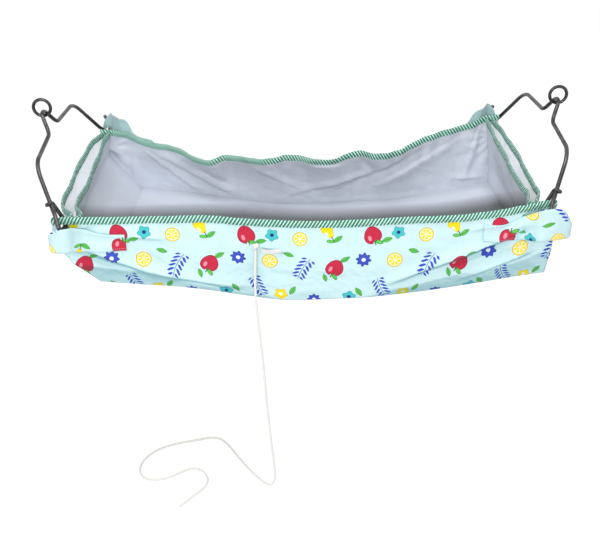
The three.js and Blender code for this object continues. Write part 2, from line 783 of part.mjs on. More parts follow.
for (const end of [-1, 1]) {
  const name = endNames[end];
  add(`outer_${name}_end_panel`, endPanel(end, flush, outerCloth, 0), palette.print);
  add(`lining_${name}_end_panel`, endPanel(end, pocket(end), liningCloth, liningLift), palette.lining);
  add(`${name}_end_binding`, endBinding(end, flush, outerCloth, 0), palette.binding);
  add(`${name}_lining_binding`, endBinding(end, pocket(end), liningCloth, liningLift), palette.binding);
  for (const side of [-1, 1]) {
    add(`${sideNames[side]}_${name}_strap`, strapSolid(end, side), palette.print);
  }
  add(`${name}_bail`, bailWire(end), palette.steel);
  const ring = add(`${name}_ring`, ringWireGeometry(), palette.steel);
  ring.rotation.x = Math.PI / 2;
  ring.position.copy(ringCentre(end));
}

const outerFoot = () => outerCloth;
const liningFoot = () => outerCloth + baseGap + liningCloth;
add('outer_base_panel', basePanel(outerCloth + baseGap, outerFoot, 0, outerCloth), palette.print);
const liningBase = basePanel(wallThickness + 2 * baseGap, liningFoot, liningLift, liningCloth);
add('lining_base_panel', liningBase, palette.lining);

const knot = add('cord_knot', knotLathe(), palette.cord);
knot.position.set(knotX, -frontOut(knotX, -knotDrop) - knotGap - knotDiameter / 2, -knotDrop);
add('cord_tape', cordTape(), palette.cord);
add('pull_cord', pullCord(), palette.cord, group);

export default group;
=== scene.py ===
# A hanging baby cradle: a printed cotton trough with a plain lining, hung from two bent steel bails and
# their rings, with a pull cord that runs down to the floor and along it. Metres, +Z up. X runs from the
# left ring to the right ring, and the front of the cradle faces -Y.
import json
import math

import bpy
import numpy as np
from mathutils import Matrix, Vector


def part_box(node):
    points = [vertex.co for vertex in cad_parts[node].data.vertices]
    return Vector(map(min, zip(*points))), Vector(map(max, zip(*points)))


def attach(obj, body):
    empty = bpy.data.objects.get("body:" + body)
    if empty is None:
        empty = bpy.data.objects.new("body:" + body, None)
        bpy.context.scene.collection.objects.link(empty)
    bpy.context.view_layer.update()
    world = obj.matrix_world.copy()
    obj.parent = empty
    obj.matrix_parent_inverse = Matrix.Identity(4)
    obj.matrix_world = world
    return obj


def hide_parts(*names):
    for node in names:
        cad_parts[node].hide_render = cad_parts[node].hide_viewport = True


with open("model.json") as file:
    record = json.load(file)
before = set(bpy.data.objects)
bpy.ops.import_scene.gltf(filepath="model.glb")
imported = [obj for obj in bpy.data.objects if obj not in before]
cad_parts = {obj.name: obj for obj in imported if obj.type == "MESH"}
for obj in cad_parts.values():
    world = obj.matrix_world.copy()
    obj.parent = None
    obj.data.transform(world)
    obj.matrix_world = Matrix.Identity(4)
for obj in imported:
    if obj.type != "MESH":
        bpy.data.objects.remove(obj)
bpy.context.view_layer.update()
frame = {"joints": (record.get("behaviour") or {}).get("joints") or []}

# Camera, fitted to the photograph's frame
PHOTO_WIDTH = 600
FOCAL_PIXELS = 908.8
SENSOR_WIDTH = 36
CAMERA_PLACE = (0.4912, -1.7383, 0.5761)
CAMERA_YAW, CAMERA_PITCH, CAMERA_ROLL = 0.41, 29.47, -1.31


def make_camera():
    yaw, pitch, roll = (math.radians(a) for a in (CAMERA_YAW, CAMERA_PITCH, CAMERA_ROLL))
    forward = Vector((math.sin(yaw) * math.cos(pitch), math.cos(yaw) * math.cos(pitch), -math.sin(pitch)))
    level = Vector((math.cos(yaw), -math.sin(yaw), 0))
    upright = level.cross(forward)
    right = math.cos(roll) * level + math.sin(roll) * upright
    top = -math.sin(roll) * level + math.cos(roll) * upright
    data = bpy.data.cameras.new("camera")
    data.sensor_width = SENSOR_WIDTH
    data.lens = SENSOR_WIDTH * FOCAL_PIXELS / PHOTO_WIDTH
    camera = bpy.data.objects.new("camera", data)
    camera.matrix_world = Matrix((right, top, -forward)).transposed().to_4x4()
    camera.location = CAMERA_PLACE
    bpy.context.scene.collection.objects.link(camera)
    bpy.context.scene.camera = camera


make_camera()


# Mesh building
SHORTEST = 1e-12
SPAN_PARTS = 24


def unit(vectors):
    return vectors / np.maximum(np.linalg.norm(vectors, axis=-1, keepdims=True), SHORTEST)


def spaced(line, count):
    """The same line as evenly spaced points."""
    along = travelled(line)
    places = np.linspace(0, along[-1], count)
    return np.stack([np.interp(places, along, values) for values in line.T], axis=1)


def length_of(line):
    return float(np.linalg.norm(np.diff(line, axis=0), axis=1).sum())


def travelled(line):
    """How far each point is along a line."""
    return np.concatenate([[0], np.cumsum(np.linalg.norm(np.diff(line, axis=0), axis=1))])


def smooth_line(points, step):
    """A centripetal Catmull-Rom curve through the points, as points about step apart."""
    points = np.array(points, float)
    points = np.concatenate([[2 * points[0] - points[1]], points, [2 * points[-1] - points[-2]]])
    share = np.linspace(0, 1, SPAN_PARTS + 1)[:-1, None]
    line = []
    for four in zip(points, points[1:], points[2:], points[3:]):
        gaps = [np.linalg.norm(b - a) ** 0.5 for a, b in zip(four, four[1:])]
        knots = np.concatenate([[0], np.cumsum(gaps)])
        at = knots[1] + (knots[2] - knots[1]) * share
        level = list(four)
        for spans in (((0, 1), (1, 2), (2, 3)), ((0, 2), (1, 3)), ((1, 2),)):
            level = [
                ((knots[b] - at) * level[i] + (at - knots[a]) * level[i + 1]) / (knots[b] - knots[a])
                for i, (a, b) in enumerate(spans)
            ]
        line.append(level[0])
    line = np.concatenate([*line, points[-2][None]])
    return spaced(line, max(2, round(length_of(line) / step)))


def make_piece(name, points, faces, looks=(), face_look=None, places=None, flat_faces=None):
    """A mesh object from points and faces. places are each point's two measures on the cloth, in metres."""
    mesh = bpy.data.meshes.new(name)
    mesh.from_pydata(np.asarray(points, float).tolist(), [], [list(map(int, face)) for face in faces])
    for look in looks:
        mesh.materials.append(look)
    if face_look is not None:
        mesh.polygons.foreach_set("material_index", np.asarray(face_look, np.int32))
    smooth = np.ones(len(mesh.polygons), bool)
    if flat_faces is not None:
        smooth &= ~np.asarray(flat_faces, bool)
    mesh.polygons.foreach_set("use_smooth", smooth)
    if places is not None:
        corners = np.zeros(len(mesh.loops), np.int32)
        mesh.loops.foreach_get("vertex_index", corners)
        layer = mesh.uv_layers.new(name="cloth")
        layer.uv.foreach_set("vector", np.asarray(places, np.float32)[corners].ravel())
    mesh.validate()
    piece = bpy.data.objects.new(name, mesh)
    bpy.context.scene.collection.objects.link(piece)
    return piece


def turned_out(points, faces):
    """The faces, turned over if they enclose the points inside out."""
    triangles = [(face[0], *pair) for face in faces for pair in zip(face[1:], face[2:])]
    first, second, third = np.asarray(points)[np.array(triangles)].transpose(1, 0, 2)
    volume = (first * np.cross(second, third)).sum()
    return faces if volume > 0 else [face[::-1] for face in faces]


def sheet_piece(name, outer, inner, places, looks, hole=None):
    """A closed sheet between two grids of points, with the looks of its outer and its inner face."""
    rows, columns = outer.shape[:2]
    count = rows * columns
    index = np.arange(count).reshape(rows, columns)
    kept = np.ones((rows - 1, columns - 1), bool) if hole is None else ~hole
    corners = index[:-1, :-1], index[:-1, 1:], index[1:, 1:], index[1:, :-1]
    front = np.stack([corner[kept] for corner in corners], axis=1)
    back = front[:, ::-1] + count
    edges = np.concatenate([front[:, [i, (i + 1) % 4]] for i in range(4)])
    lone = ~np.isin(edges[:, 0] * count + edges[:, 1], edges[:, 1] * count + edges[:, 0])
    start, end = edges[lone].T
    side = np.stack([end, start, start + count, end + count], axis=1)
    faces = np.concatenate([front, back, side])
    points = np.concatenate([outer.reshape(-1, 3), inner.reshape(-1, 3)])
    both = np.tile(places.reshape(-1, 2), (2, 1))
    used = np.unique(faces)
    renumber = np.zeros(2 * count, int)
    renumber[used] = np.arange(len(used))
    faces = renumber[faces].tolist()
    look = np.concatenate([np.zeros(len(front)), np.full(len(back), len(looks) - 1), np.zeros(len(side))])
    edge_faces = np.arange(len(faces)) >= len(front) + len(back)
    points = points[used]
    return make_piece(name, points, turned_out(points, faces), looks, look, both[used], edge_faces)


def loft_piece(name, sections, look, places=None, closed=False):
    """A body through equal closed sections, with its ends capped unless it closes on itself."""
    stations, size = sections.shape[:2]
    index = np.arange(stations * size).reshape(stations, size)
    ahead = np.roll(index, -1, axis=0) if closed else index[1:]
    here = index if closed else index[:-1]
    quads = np.stack([here, np.roll(here, -1, axis=1), np.roll(ahead, -1, axis=1), ahead], axis=-1)
    faces = quads.reshape(-1, 4).tolist()
    flat = np.arange(len(faces) + (0 if closed else 2)) >= len(faces)
    if not closed:
        faces += [index[0][::-1].tolist(), index[-1].tolist()]
    points = sections.reshape(-1, 3)
    measures = None if places is None else places.reshape(-1, 2)
    return make_piece(name, points, turned_out(points, faces), [look], None, measures, flat)


def transported(line, side, closed=False):
    """Unit side and cross directions along a line, turning as little as they can."""
    ahead = np.roll(line, -1, axis=0) - np.roll(line, 1, axis=0)
    if not closed:
        ahead[0], ahead[-1] = line[1] - line[0], line[-1] - line[-2]
    ahead = unit(ahead)
    sides = []
    side = np.array(side, float)
    for direction in ahead:
        side = unit(side - direction * side.dot(direction))
        sides.append(side)
    sides = np.array(sides)
    return sides, np.cross(ahead, sides)


def swept(line, side, radii, closed=False):
    """Sections along a line: radii has one row for all stations, or a row for each."""
    sides, crosses = transported(line, side, closed)
    count = radii.shape[-1]
    angles = np.arange(count) * 2 * math.pi / count
    radii = np.broadcast_to(radii, (len(line), count))
    across = (np.cos(angles) * radii)[..., None] * sides[:, None]
    return line[:, None] + across + (np.sin(angles) * radii)[..., None] * crosses[:, None]


def stand_in(piece, node, body):
    """Let a piece take the place of its CAD node."""
    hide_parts(node)
    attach(piece, body)


# Materials


class Term:
    """A value worked out in a material, so that its sums read as sums."""

    def __init__(self, tree, socket):
        self.tree = tree
        self.socket = socket

    def math(self, operation, *others, clamp=False):
        node = self.tree.nodes.new("ShaderNodeMath")
        node.operation = operation
        node.use_clamp = clamp
        for slot, value in zip(node.inputs, (self, *others)):
            if isinstance(value, Term):
                self.tree.links.new(value.socket, slot)
            else:
                slot.default_value = value
        return Term(self.tree, node.outputs[0])

    def __add__(self, other):
        return self.math("ADD", other)

    def __sub__(self, other):
        return self.math("SUBTRACT", other)

    def __mul__(self, other):
        return self.math("MULTIPLY", other)

    def __abs__(self):
        return self.math("ABSOLUTE")

    def fract(self):
        return self.math("FRACT")

    def clamped(self, more=0.0):
        """The value and some more, kept from 0 to 1."""
        return self.math("ADD", more, clamp=True)

    def inside(self, sharpness):
        """One where the value is above zero, with a soft edge."""
        return (self * sharpness).clamped(0.5)


class Paint:
    """A material with a Principled shader, and the nodes that feed it."""

    def __init__(self, name, **values):
        self.material = bpy.data.materials.new(name)
        self.material.use_nodes = True
        self.tree = self.material.node_tree
        self.shader = next(n for n in self.tree.nodes if n.type == "BSDF_PRINCIPLED")
        for key, value in values.items():
            self.shader.inputs[key.replace("_", " ")].default_value = value

    def node(self, kind, **values):
        node = self.tree.nodes.new(kind)
        for key, value in values.items():
            node.inputs[key.replace("_", " ")].default_value = value
        return node

    def term(self, socket):
        return Term(self.tree, socket)

    def places(self):
        """The two measures on the cloth, in metres."""
        node = self.tree.nodes.new("ShaderNodeUVMap")
        node.uv_map = "cloth"
        parts = self.tree.nodes.new("ShaderNodeSeparateXYZ")
        self.tree.links.new(node.outputs[0], parts.inputs[0])
        return self.term(parts.outputs[0]), self.term(parts.outputs[1])

    def noise(self, scale, detail=3, roughness=0.55):
        """Noise over the object's own place, from about 0 to 1."""
        place = self.tree.nodes.new("ShaderNodeTexCoord")
        node = self.node("ShaderNodeTexNoise", Scale=scale, Detail=detail, Roughness=roughness)
        self.tree.links.new(place.outputs["Object"], node.inputs["Vector"])
        return self.term(node.outputs["Fac"])

    def mixed(self, colour, other, share, blend="MIX"):
        """colour where share is zero, other where it is one. Colours are tuples or sockets."""
        node = self.tree.nodes.new("ShaderNodeMix")
        node.data_type = "RGBA"
        node.blend_type = blend
        for slot, value in ((node.inputs[6], colour), (node.inputs[7], other)):
            if isinstance(value, tuple):
                slot.default_value = (*value, 1)
            else:
                self.tree.links.new(value, slot)
        self.tree.links.new(share.socket, node.inputs[0])
        return node.outputs[2]

    def hollow_shade(self, reach):
        """Zero on open cloth, and towards one where cloth close by would shade it: the share of painted shade
        in hollows.
        """
        node = self.node("ShaderNodeAmbientOcclusion", Distance=reach)
        node.samples = 6
        return self.term(node.outputs["AO"]) * -1 + 1

    def shade(self):
        """The painted shade that the piece's mesh carries, and zero where it carries none."""
        node = self.tree.nodes.new("ShaderNodeAttribute")
        node.attribute_name = "shade"
        return self.term(node.outputs["Fac"])

    def colour(self, socket):
        self.tree.links.new(socket, self.shader.inputs["Base Color"])

    def roughness(self, term):
        self.tree.links.new(term.socket, self.shader.inputs["Roughness"])

    def bump(self, term, distance, strength=1.0):
        node = self.node("ShaderNodeBump", Strength=strength, Distance=distance)
        self.tree.links.new(term.socket, node.inputs["Height"])
        self.tree.links.new(node.outputs[0], self.shader.inputs["Normal"])


def weave(paint, u, v, thread):
    """The crossing threads of a plain weave, from -1 to 1."""
    return (u * (math.pi / thread)).math("SINE") * (v * (math.pi / thread)).math("SINE")


def srgb(red, green, blue):
    """A colour in the 0 to 255 scale of a screen, as the linear values of a shader."""
    shares = (value / 255 for value in (red, green, blue))
    return tuple(s / 12.92 if s <= 0.04045 else ((s + 0.055) / 1.055) ** 2.4 for s in shares)


# The print: simple fruit, flowers, leaves and sprigs, scattered over a repeat
REPEAT_WIDTH, REPEAT_HEIGHT = 0.236, 0.178
PRINT_EDGE = 0.0005
GROUND = srgb(213, 244, 248)
RED, RED_EDGE = srgb(205, 44, 72), srgb(150, 30, 55)
YELLOW, YELLOW_EDGE = srgb(252, 228, 30), srgb(228, 168, 20)
LEAF, LEAF_EDGE = srgb(104, 205, 84), srgb(38, 118, 52)
BLUE, BLUE_DARK = srgb(62, 84, 196), srgb(38, 46, 128)
TEAL, TEAL_EDGE = srgb(72, 200, 204), srgb(34, 134, 150)
PALE = srgb(246, 250, 250)


def petals(p, q, count, hollow_shade_share):
    """How far inside a flower's outline a point is, in flower radii."""
    reach = (p * p + q * q).math("SQRT")
    wave = (q.math("ARCTAN2", p) * count).math("COSINE")
    return wave * hollow_shade_share + (1 - hollow_shade_share) - reach, reach


def flower(petal_count, face, edge, middle):
    def draw(p, q, sharp):
        body, reach = petals(p, q, petal_count, 0.13)
        yield edge, body.inside(sharp)
        yield face, (body - 0.07).inside(sharp)
        yield middle, (reach * -1 + 0.27).inside(sharp)

    return draw


daisy = flower(8, BLUE, BLUE_DARK, PALE)
teal_flower = flower(5, TEAL, TEAL_EDGE, BLUE_DARK)
yellow_flower = flower(5, YELLOW, YELLOW_EDGE, PALE)


def leaf(p, q, sharp):
    body = abs(q) * -1 - p * p * 0.44 + 0.44
    yield LEAF_EDGE, body.inside(sharp)
    yield LEAF, (body - 0.06).inside(sharp)
    vein = abs(((p * -1 + abs(q)) * 3).fract() - 0.5)
    yield LEAF_EDGE, (vein * -1 + 0.07).inside(sharp / 3) * (body - 0.12).inside(sharp)
    yield LEAF_EDGE, (abs(q) * -1 + 0.035).inside(sharp) * body.inside(sharp)


def stalk(p, q, sharp, colour, bottom, top):
    line = (abs(p) * -1 + 0.06).inside(sharp) * (q - bottom).inside(sharp)
    return colour, line * (q * -1 + top).inside(sharp)


def small_leaf(p, q, sharp, across, up):
    """A leaf beside a fruit's stalk."""
    along = (p - across) * 0.8 + (q - up) * 0.6
    aside = (q - up) * 0.8 - (p - across) * 0.6
    body = (along * along * 5.5 + aside * aside * 22).math("SQRT") * -1 + 1
    yield LEAF_EDGE, body.inside(sharp / 3)
    yield LEAF, (body - 0.2).inside(sharp / 3)


def fruit(p, q, sharp, width, face, edge, shine):
    body = (p.math("DIVIDE", width).math("POWER", 2.0) + q * q).math("SQRT") * -1 + 1
    notch = (p * p * 3 + (q - 0.98) * (q - 0.98) * 3).math("SQRT") - 0.34
    body = body.math("MINIMUM", notch)
    yield edge, body.inside(sharp)
    yield face, (body - 0.08).inside(sharp)
    lit = ((p + 0.38) * (p + 0.38) * 4 + (q - 0.25) * (q - 0.25) * 1.4).math("SQRT") * -1 + 0.36
    yield shine, lit.inside(sharp / 2) * (body - 0.14).inside(sharp)


def apple(p, q, sharp):
    yield from fruit(p, q, sharp, q * 0.16 + 0.92, RED, RED_EDGE, srgb(238, 150, 165))
    yield stalk(p, q, sharp, LEAF_EDGE, 0.62, 1.2)
    yield from small_leaf(p, q, sharp, 0.42, 1.02)


def pear(p, q, sharp):
    width = (q * -2.2).math("TANH") * 0.24 + 0.6
    yield from fruit(p, q, sharp, width, YELLOW, YELLOW_EDGE, PALE)
    yield stalk(p, q, sharp, LEAF_EDGE, 0.72, 1.3)
    yield from small_leaf(p, q, sharp, -0.4, 1.12)


def lemon_slice(p, q, sharp):
    reach = (p * p + q * q).math("SQRT")
    yield YELLOW_EDGE, (reach * -1 + 1).inside(sharp)
    yield YELLOW, (reach * -1 + 0.93).inside(sharp)
    yield PALE, (reach * -1 + 0.8).inside(sharp)
    wedge = (q.math("ARCTAN2", p) * (7 / (2 * math.pi))).fract() - 0.5
    segment = (abs(wedge) * -1 + 0.43) * reach
    flesh = (reach * -1 + 0.72).inside(sharp) * (reach - 0.12).inside(sharp)
    yield YELLOW, (segment - 0.02).inside(sharp) * flesh


def sprig(p, q, sharp):
    bent = p - q * q * 0.12
    yield BLUE, (abs(bent) * -1 + 0.022).inside(sharp) * (abs(q) * -1 + 1).inside(sharp)
    step = 0.36
    up = (q * (1 / step)).fract() * step - step / 2
    out = abs(bent) - 0.3
    along = out * 0.72 + up * 0.69
    across = up * 0.72 - out * 0.69
    body = (along * along * 9 + across * across * 130).math("SQRT") * -1 + 1
    yield BLUE, body.inside(sharp / 3) * (abs(q) * -1 + 0.92).inside(sharp)


# Each motif's kind, its place in the repeat in shares of its width and height, turn and radius
MOTIFS = [
    (leaf, 0.185, 0.145, 150, 0.0115),
    (leaf, 0.025, 0.365, 75, 0.0100),
    (apple, 0.105, 0.245, 24, 0.0185),
    (daisy, 0.335, 0.155, 10, 0.0150),
    (lemon_slice, 0.585, 0.180, -12, 0.0150),
    (leaf, 0.735, 0.085, 20, 0.0110),
    (sprig, 0.845, 0.250, 28, 0.0260),
    (leaf, 0.300, 0.560, 60, 0.0120),
    (teal_flower, 0.220, 0.620, -8, 0.0140),
    (sprig, 0.480, 0.520, -24, 0.0240),
    (leaf, 0.760, 0.545, 120, 0.0115),
    (yellow_flower, 0.665, 0.600, 14, 0.0135),
    (daisy, 0.935, 0.650, 0, 0.0135),
    (leaf, 0.130, 0.905, -35, 0.0110),
    (pear, 0.055, 0.820, -30, 0.0165),
    (apple, 0.405, 0.880, -18, 0.0180),
    (leaf, 0.520, 0.945, 165, 0.0110),
    (teal_flower, 0.610, 0.870, 26, 0.0130),
    (lemon_slice, 0.830, 0.905, 160, 0.0140),
]


def print_colour(paint, u, v):
    shade = paint.noise(9, detail=2)
    colour = paint.mixed(GROUND, tuple(0.94 * value for value in GROUND), shade)
    wide, high = u * (1 / REPEAT_WIDTH), v * (1 / REPEAT_HEIGHT)
    for draw, x_share, y_share, turn, radius in MOTIFS:
        across = wide - x_share
        across = across - across.math("ROUND")
        up = high - y_share
        up = up - up.math("ROUND")
        cosine, sine = math.cos(math.radians(turn)) / radius, math.sin(math.radians(turn)) / radius
        p = across * (cosine * REPEAT_WIDTH) + up * (sine * REPEAT_HEIGHT)
        q = up * (cosine * REPEAT_HEIGHT) - across * (sine * REPEAT_WIDTH)
        for drawn, mask in draw(p, q, radius / PRINT_EDGE):
            colour = paint.mixed(colour, drawn, mask)
    return colour


COTTON_THREAD = 0.00042
# Colours that painted shade in folds and hollows multiplies into the print and into plain cloth, and the
# painted shade that open cloth drops
PAINTED_FOLD_SHADE, PAINTED_LINING_SHADE = (0.34, 0.56, 0.60), (0.23, 0.235, 0.22)
OPEN_HOLLOW = 0.04


def printed_cotton():
    paint = Paint("printed_cotton", Roughness=0.82, Specular_IOR_Level=0.25, Sheen_Weight=0.12,
                  Sheen_Roughness=0.4)
    u, v = paint.places()
    # Painted shade: the print darkens in hollows and where the mesh carries painted shade
    painted_shade = (paint.hollow_shade(0.04) + paint.shade()).clamped(-OPEN_HOLLOW)
    paint.colour(paint.mixed(print_colour(paint, u, v), PAINTED_FOLD_SHADE, painted_shade, "MULTIPLY"))
    paint.bump(weave(paint, u, v, COTTON_THREAD) + paint.noise(900, detail=2), 0.00005)
    return paint.material


# A glow here is painted light, an emission from cloth that is no lamp; hollows get painted shade
def plain_cotton(name, colour, shade_colour, thread=COTTON_THREAD, hollow_shade_share=0.3, glow=0.0):
    paint = Paint(name, Roughness=0.88, Specular_IOR_Level=0.2, Sheen_Weight=0.1, Sheen_Roughness=0.45,
                  Emission_Color=(1, 1, 1, 1), Emission_Strength=glow)
    u, v = paint.places()
    cloud = paint.noise(5, detail=4)
    slub = paint.noise(160, detail=2)
    tone = paint.mixed(colour, shade_colour, (cloud * 1.3 - 0.15).clamped())
    tone = paint.mixed(tone, tuple(0.96 * value for value in colour), slub * 0.5)
    # Painted shade: plain cloth darkens in hollows and where the mesh carries painted shade
    painted_shade = (paint.hollow_shade(0.035) * hollow_shade_share + paint.shade()).clamped(-OPEN_HOLLOW)
    paint.colour(paint.mixed(tone, PAINTED_LINING_SHADE, painted_shade, "MULTIPLY"))
    paint.bump(weave(paint, u, v, thread) + paint.noise(700, detail=2), 0.00006)
    return paint.material


STRIPE_PITCH, STRIPE_SLANT, STRIPE_SHARE, STRIPE_EDGE = 0.0067, 0.58, 0.6, 0.0004


def striped_binding():
    paint = Paint("striped_binding", Roughness=0.8, Specular_IOR_Level=0.25, Sheen_Weight=0.1,
                  Sheen_Roughness=0.4)
    u, v = paint.places()
    band = abs(((u - v * STRIPE_SLANT) * (1 / STRIPE_PITCH)).fract() - 0.5)
    stripe = (band * -1 + STRIPE_SHARE / 2).inside(STRIPE_PITCH / STRIPE_EDGE)
    tone = paint.mixed(srgb(222, 244, 240), srgb(44, 140, 110), stripe)
    tone = paint.mixed(tone, srgb(30, 96, 80), (paint.noise(60) - 0.42).clamped())
    paint.colour(tone)
    paint.bump(weave(paint, u, v, COTTON_THREAD) + paint.noise(900, detail=2), 0.00005)
    return paint.material


def bare_steel(name, colour, dark):
    paint = Paint(name, Metallic=1.0, Roughness=0.34)
    scale = paint.noise(34, detail=5, roughness=0.65)
    grain = paint.noise(420, detail=2)
    tone = paint.mixed(colour, dark, (scale * 2.4 - 0.75).clamped())
    paint.colour(tone)
    paint.roughness(scale * 0.22 + 0.22)
    paint.bump(grain + scale, 0.00012, 0.6)
    return paint.material


def white_cotton():
    paint = Paint("white_cotton", Roughness=0.85, Sheen_Weight=0.2, Sheen_Roughness=0.4)
    fibres = paint.noise(1400, detail=2)
    paint.colour(paint.mixed(srgb(247, 244, 240), srgb(218, 210, 202), fibres * 0.6))
    paint.bump(fibres, 0.0001)
    return paint.material


def stitch_thread(name, colour):
    paint = Paint(name, Roughness=0.6, Sheen_Weight=0.2)
    paint.colour(paint.mixed(colour, tuple(0.6 * value for value in colour), paint.noise(2200)))
    return paint.material


PRINT = printed_cotton()
LINING = plain_cotton("lining_cotton", srgb(228, 233, 242), srgb(217, 223, 235))
# The pocket's cloth is paler than the lining and glows a little: painted light in the deep pocket, which also
# gets less painted shade
POCKET = plain_cotton("pocket_cotton", srgb(246, 247, 252), srgb(236, 238, 246), hollow_shade_share=0.1, glow=0.3)
REVERSE = plain_cotton("print_reverse", srgb(186, 216, 218), srgb(168, 202, 206))
BINDING = striped_binding()
STEEL = bare_steel("bail_steel", (0.125, 0.122, 0.122), (0.032, 0.031, 0.032))
RING_STEEL = bare_steel("ring_steel", (0.1, 0.098, 0.1), (0.03, 0.029, 0.03))
CORD_COTTON = white_cotton()
THREAD = stitch_thread("aqua_thread", srgb(196, 226, 228))
GREEN_THREAD = stitch_thread("green_thread", srgb(70, 150, 122))

# Pull cord: its route, from the knot down to the floor and along it, as in the CAD model
CORD_ROUTE = [
    (0.420, -0.241, -0.2165), (0.4195, -0.241, -0.229), (0.4175, -0.241, -0.262),
    (0.416, -0.241, -0.311), (0.418, -0.241, -0.3675), (0.421, -0.240, -0.4225),
    (0.424, -0.240, -0.4775), (0.426, -0.240, -0.5325), (0.428, -0.239, -0.5875),
    (0.431, -0.238, -0.6425), (0.434, -0.237, -0.6975), (0.437, -0.236, -0.7425),
    (0.438, -0.236, -0.7725), (0.435, -0.237, -0.7905), (0.427, -0.235, -0.8015),
]
CORD_FLOOR_HEIGHT = -0.805
CORD_ROUTE += [(x, y, CORD_FLOOR_HEIGHT) for x, y in (
    (0.415, -0.225), (0.389, -0.194), (0.353, -0.138), (0.327, -0.094), (0.311, -0.075), (0.291, -0.067),
    (0.251, -0.074), (0.195, -0.089), (0.157, -0.112), (0.137, -0.142), (0.133, -0.17), (0.141, -0.192),
    (0.159, -0.204), (0.189, -0.203), (0.212, -0.193), (0.235, -0.178), (0.255, -0.172), (0.273, -0.18),
    (0.286, -0.201), (0.287, -0.221), (0.278, -0.239), (0.257, -0.264), (0.234, -0.29),
)]
CORD_DIAMETER = 0.005
CORD_STEP = 0.0011
CORD_SIDES = 16
STRANDS = 4
BRAID_PITCH = 0.017
BRAID_RELIEF_SHARE = 0.1


def braided(line, diameter):
    """Sections of a braid: strands that wind both ways raise its surface."""
    along = np.arange(len(line)) * length_of(line) / (len(line) - 1)
    angle = np.arange(CORD_SIDES) * 2 * math.pi / CORD_SIDES
    turn = (along * 2 * math.pi / BRAID_PITCH)[:, None]
    strands = np.maximum(np.cos(STRANDS * (angle + turn)), np.cos(STRANDS * (angle - turn)))
    radii = diameter / 2 * (1 - BRAID_RELIEF_SHARE * (1 - strands) / 2)
    return swept(line, (1, 0, 0), radii)


cord_line = smooth_line(CORD_ROUTE, CORD_STEP)
pull_cord = loft_piece("braided_pull_cord", braided(cord_line, CORD_DIAMETER), CORD_COTTON)
stand_in(pull_cord, "pull_cord", "sling")

# The hanging cloth's sizes, as in the CAD model. Places are told from the middle of the rim.
RIM_LENGTH, RIM_WIDTH = 0.936, 0.460
MIDDLE_DEPTH, LEFT_DEPTH, RIGHT_DEPTH = 0.198, 0.158, 0.165
LEFT_RIM_DROP, BACK_CORNER_INSET = 0.009, 0.017
EAR_REACH, EAR_DEPTH, BOTTOM_REACH, EAR_TUCK = 0.033, 0.068, 0.005, 0.010
OUTER_CLOTH, LINING_CLOTH, SEAM_GAP = 0.0016, 0.0012, 0.0003
FRONT_SAG, BACK_SAG, BACK_BOW, BACK_BOTTOM_BOW = 0.027, 0.057, 0.066, 0.022
FRONT_BILLOW, BACK_BILLOW, TUCK_SLOPE, BASE_SAG = 0.007, 0.004, 0.42, 0.009
END_BULGE = {-1: 0.017, 1: 0.009}
END_SAG = {-1: 0.005, 1: 0.008}
END_REACH = {-1: 0.005, 1: 0.014}
END_DEPTH = {-1: LEFT_DEPTH, 1: RIGHT_DEPTH}
END_INSET = {-1: 0.072, 1: 0.003}
POCKET_WIDTH = {-1: 0.033, 1: 0.026}
POCKET_CORNER, POCKET_DEPTH = 0.006, 0.095
BINDING_HEIGHT, BINDING_TAPE = 0.012, 0.001
PIVOT_DROP = 0.0295

joints = {joint["name"]: joint for joint in frame["joints"]}
left_pivot = np.array(joints["left_bail_swing"]["pos_m"])
right_pivot = np.array(joints["right_bail_swing"]["pos_m"])
RIM = (left_pivot + right_pivot) / 2 + np.array([0, 0, PIVOT_DROP])
PIVOT_X = (right_pivot[0] - left_pivot[0]) / 2
HALF, HALF_WIDTH = RIM_LENGTH / 2, RIM_WIDTH / 2
WALL = OUTER_CLOTH + SEAM_GAP + LINING_CLOTH
WRAP = SEAM_GAP + BINDING_TAPE
ZONE = BINDING_HEIGHT + BINDING_TAPE

FRONT_SAG_SHARES = [(0, 0.23), (0.03, 0.16), (0.1, 0.13), (0.3, 0.28), (0.375, 0.57), (0.49, 0.92),
                    (0.59, 1), (0.69, 0.92), (0.83, 0.83), (0.96, 0.25), (0.98, 0.2), (1, 0.23)]
BACK_SAG_SHARES = [(0, -0.05), (0.03, 0.02), (0.06, 0.11), (0.115, 0.38), (0.19, 0.6), (0.255, 1),
                   (0.316, 0.87), (0.4, 1.05), (0.475, 0.94), (0.56, 1.13), (0.64, 0.88), (0.69, 1),
                   (0.74, 0.92), (0.79, 0.65), (0.855, 0.41), (0.93, 0.19), (0.97, -0.03), (1, -0.08)]
DEPTH_SHARES = [(0, 0), (0.08, 0.14), (0.17, 0.28), (0.25, 0.5), (0.36, 0.87), (0.44, 1), (0.55, 0.97),
                (0.7, 0.91), (0.85, 0.56), (0.956, 0.16), (1, 0)]
CREASE_SHARES = [(0, 0.62), (0.1, 0.7), (0.22, 0.79), (0.34, 0.91), (0.42, 1), (0.58, 1), (0.67, 0.88),
                 (0.78, 0.76), (0.9, 0.64), (1, 0.6)]
EAR_TUCK_SHARES = [(0, 1), (0.02, 0.85), (0.05, 0.35), (0.09, 0.04), (0.12, 0)]
END_SWING_SHARES = [(0, 1), (0.045, 1), (0.09, 0.45), (0.14, 0.06), (0.2, 0), (1, 0)]
BULGE_SHARES = {
    -1: [(0, 0), (0.12, 0.05), (0.3, 0.45), (0.5, 0.8), (0.75, 1), (0.9, 0.78), (1, 0)],
    1: [(0, 0), (0.1, 0.1), (0.2, -0.3), (0.4, 0.5), (0.6, 0.8), (0.8, 1), (1, 0)],
}
BILLOW_TAPER_SHARE = 0.5


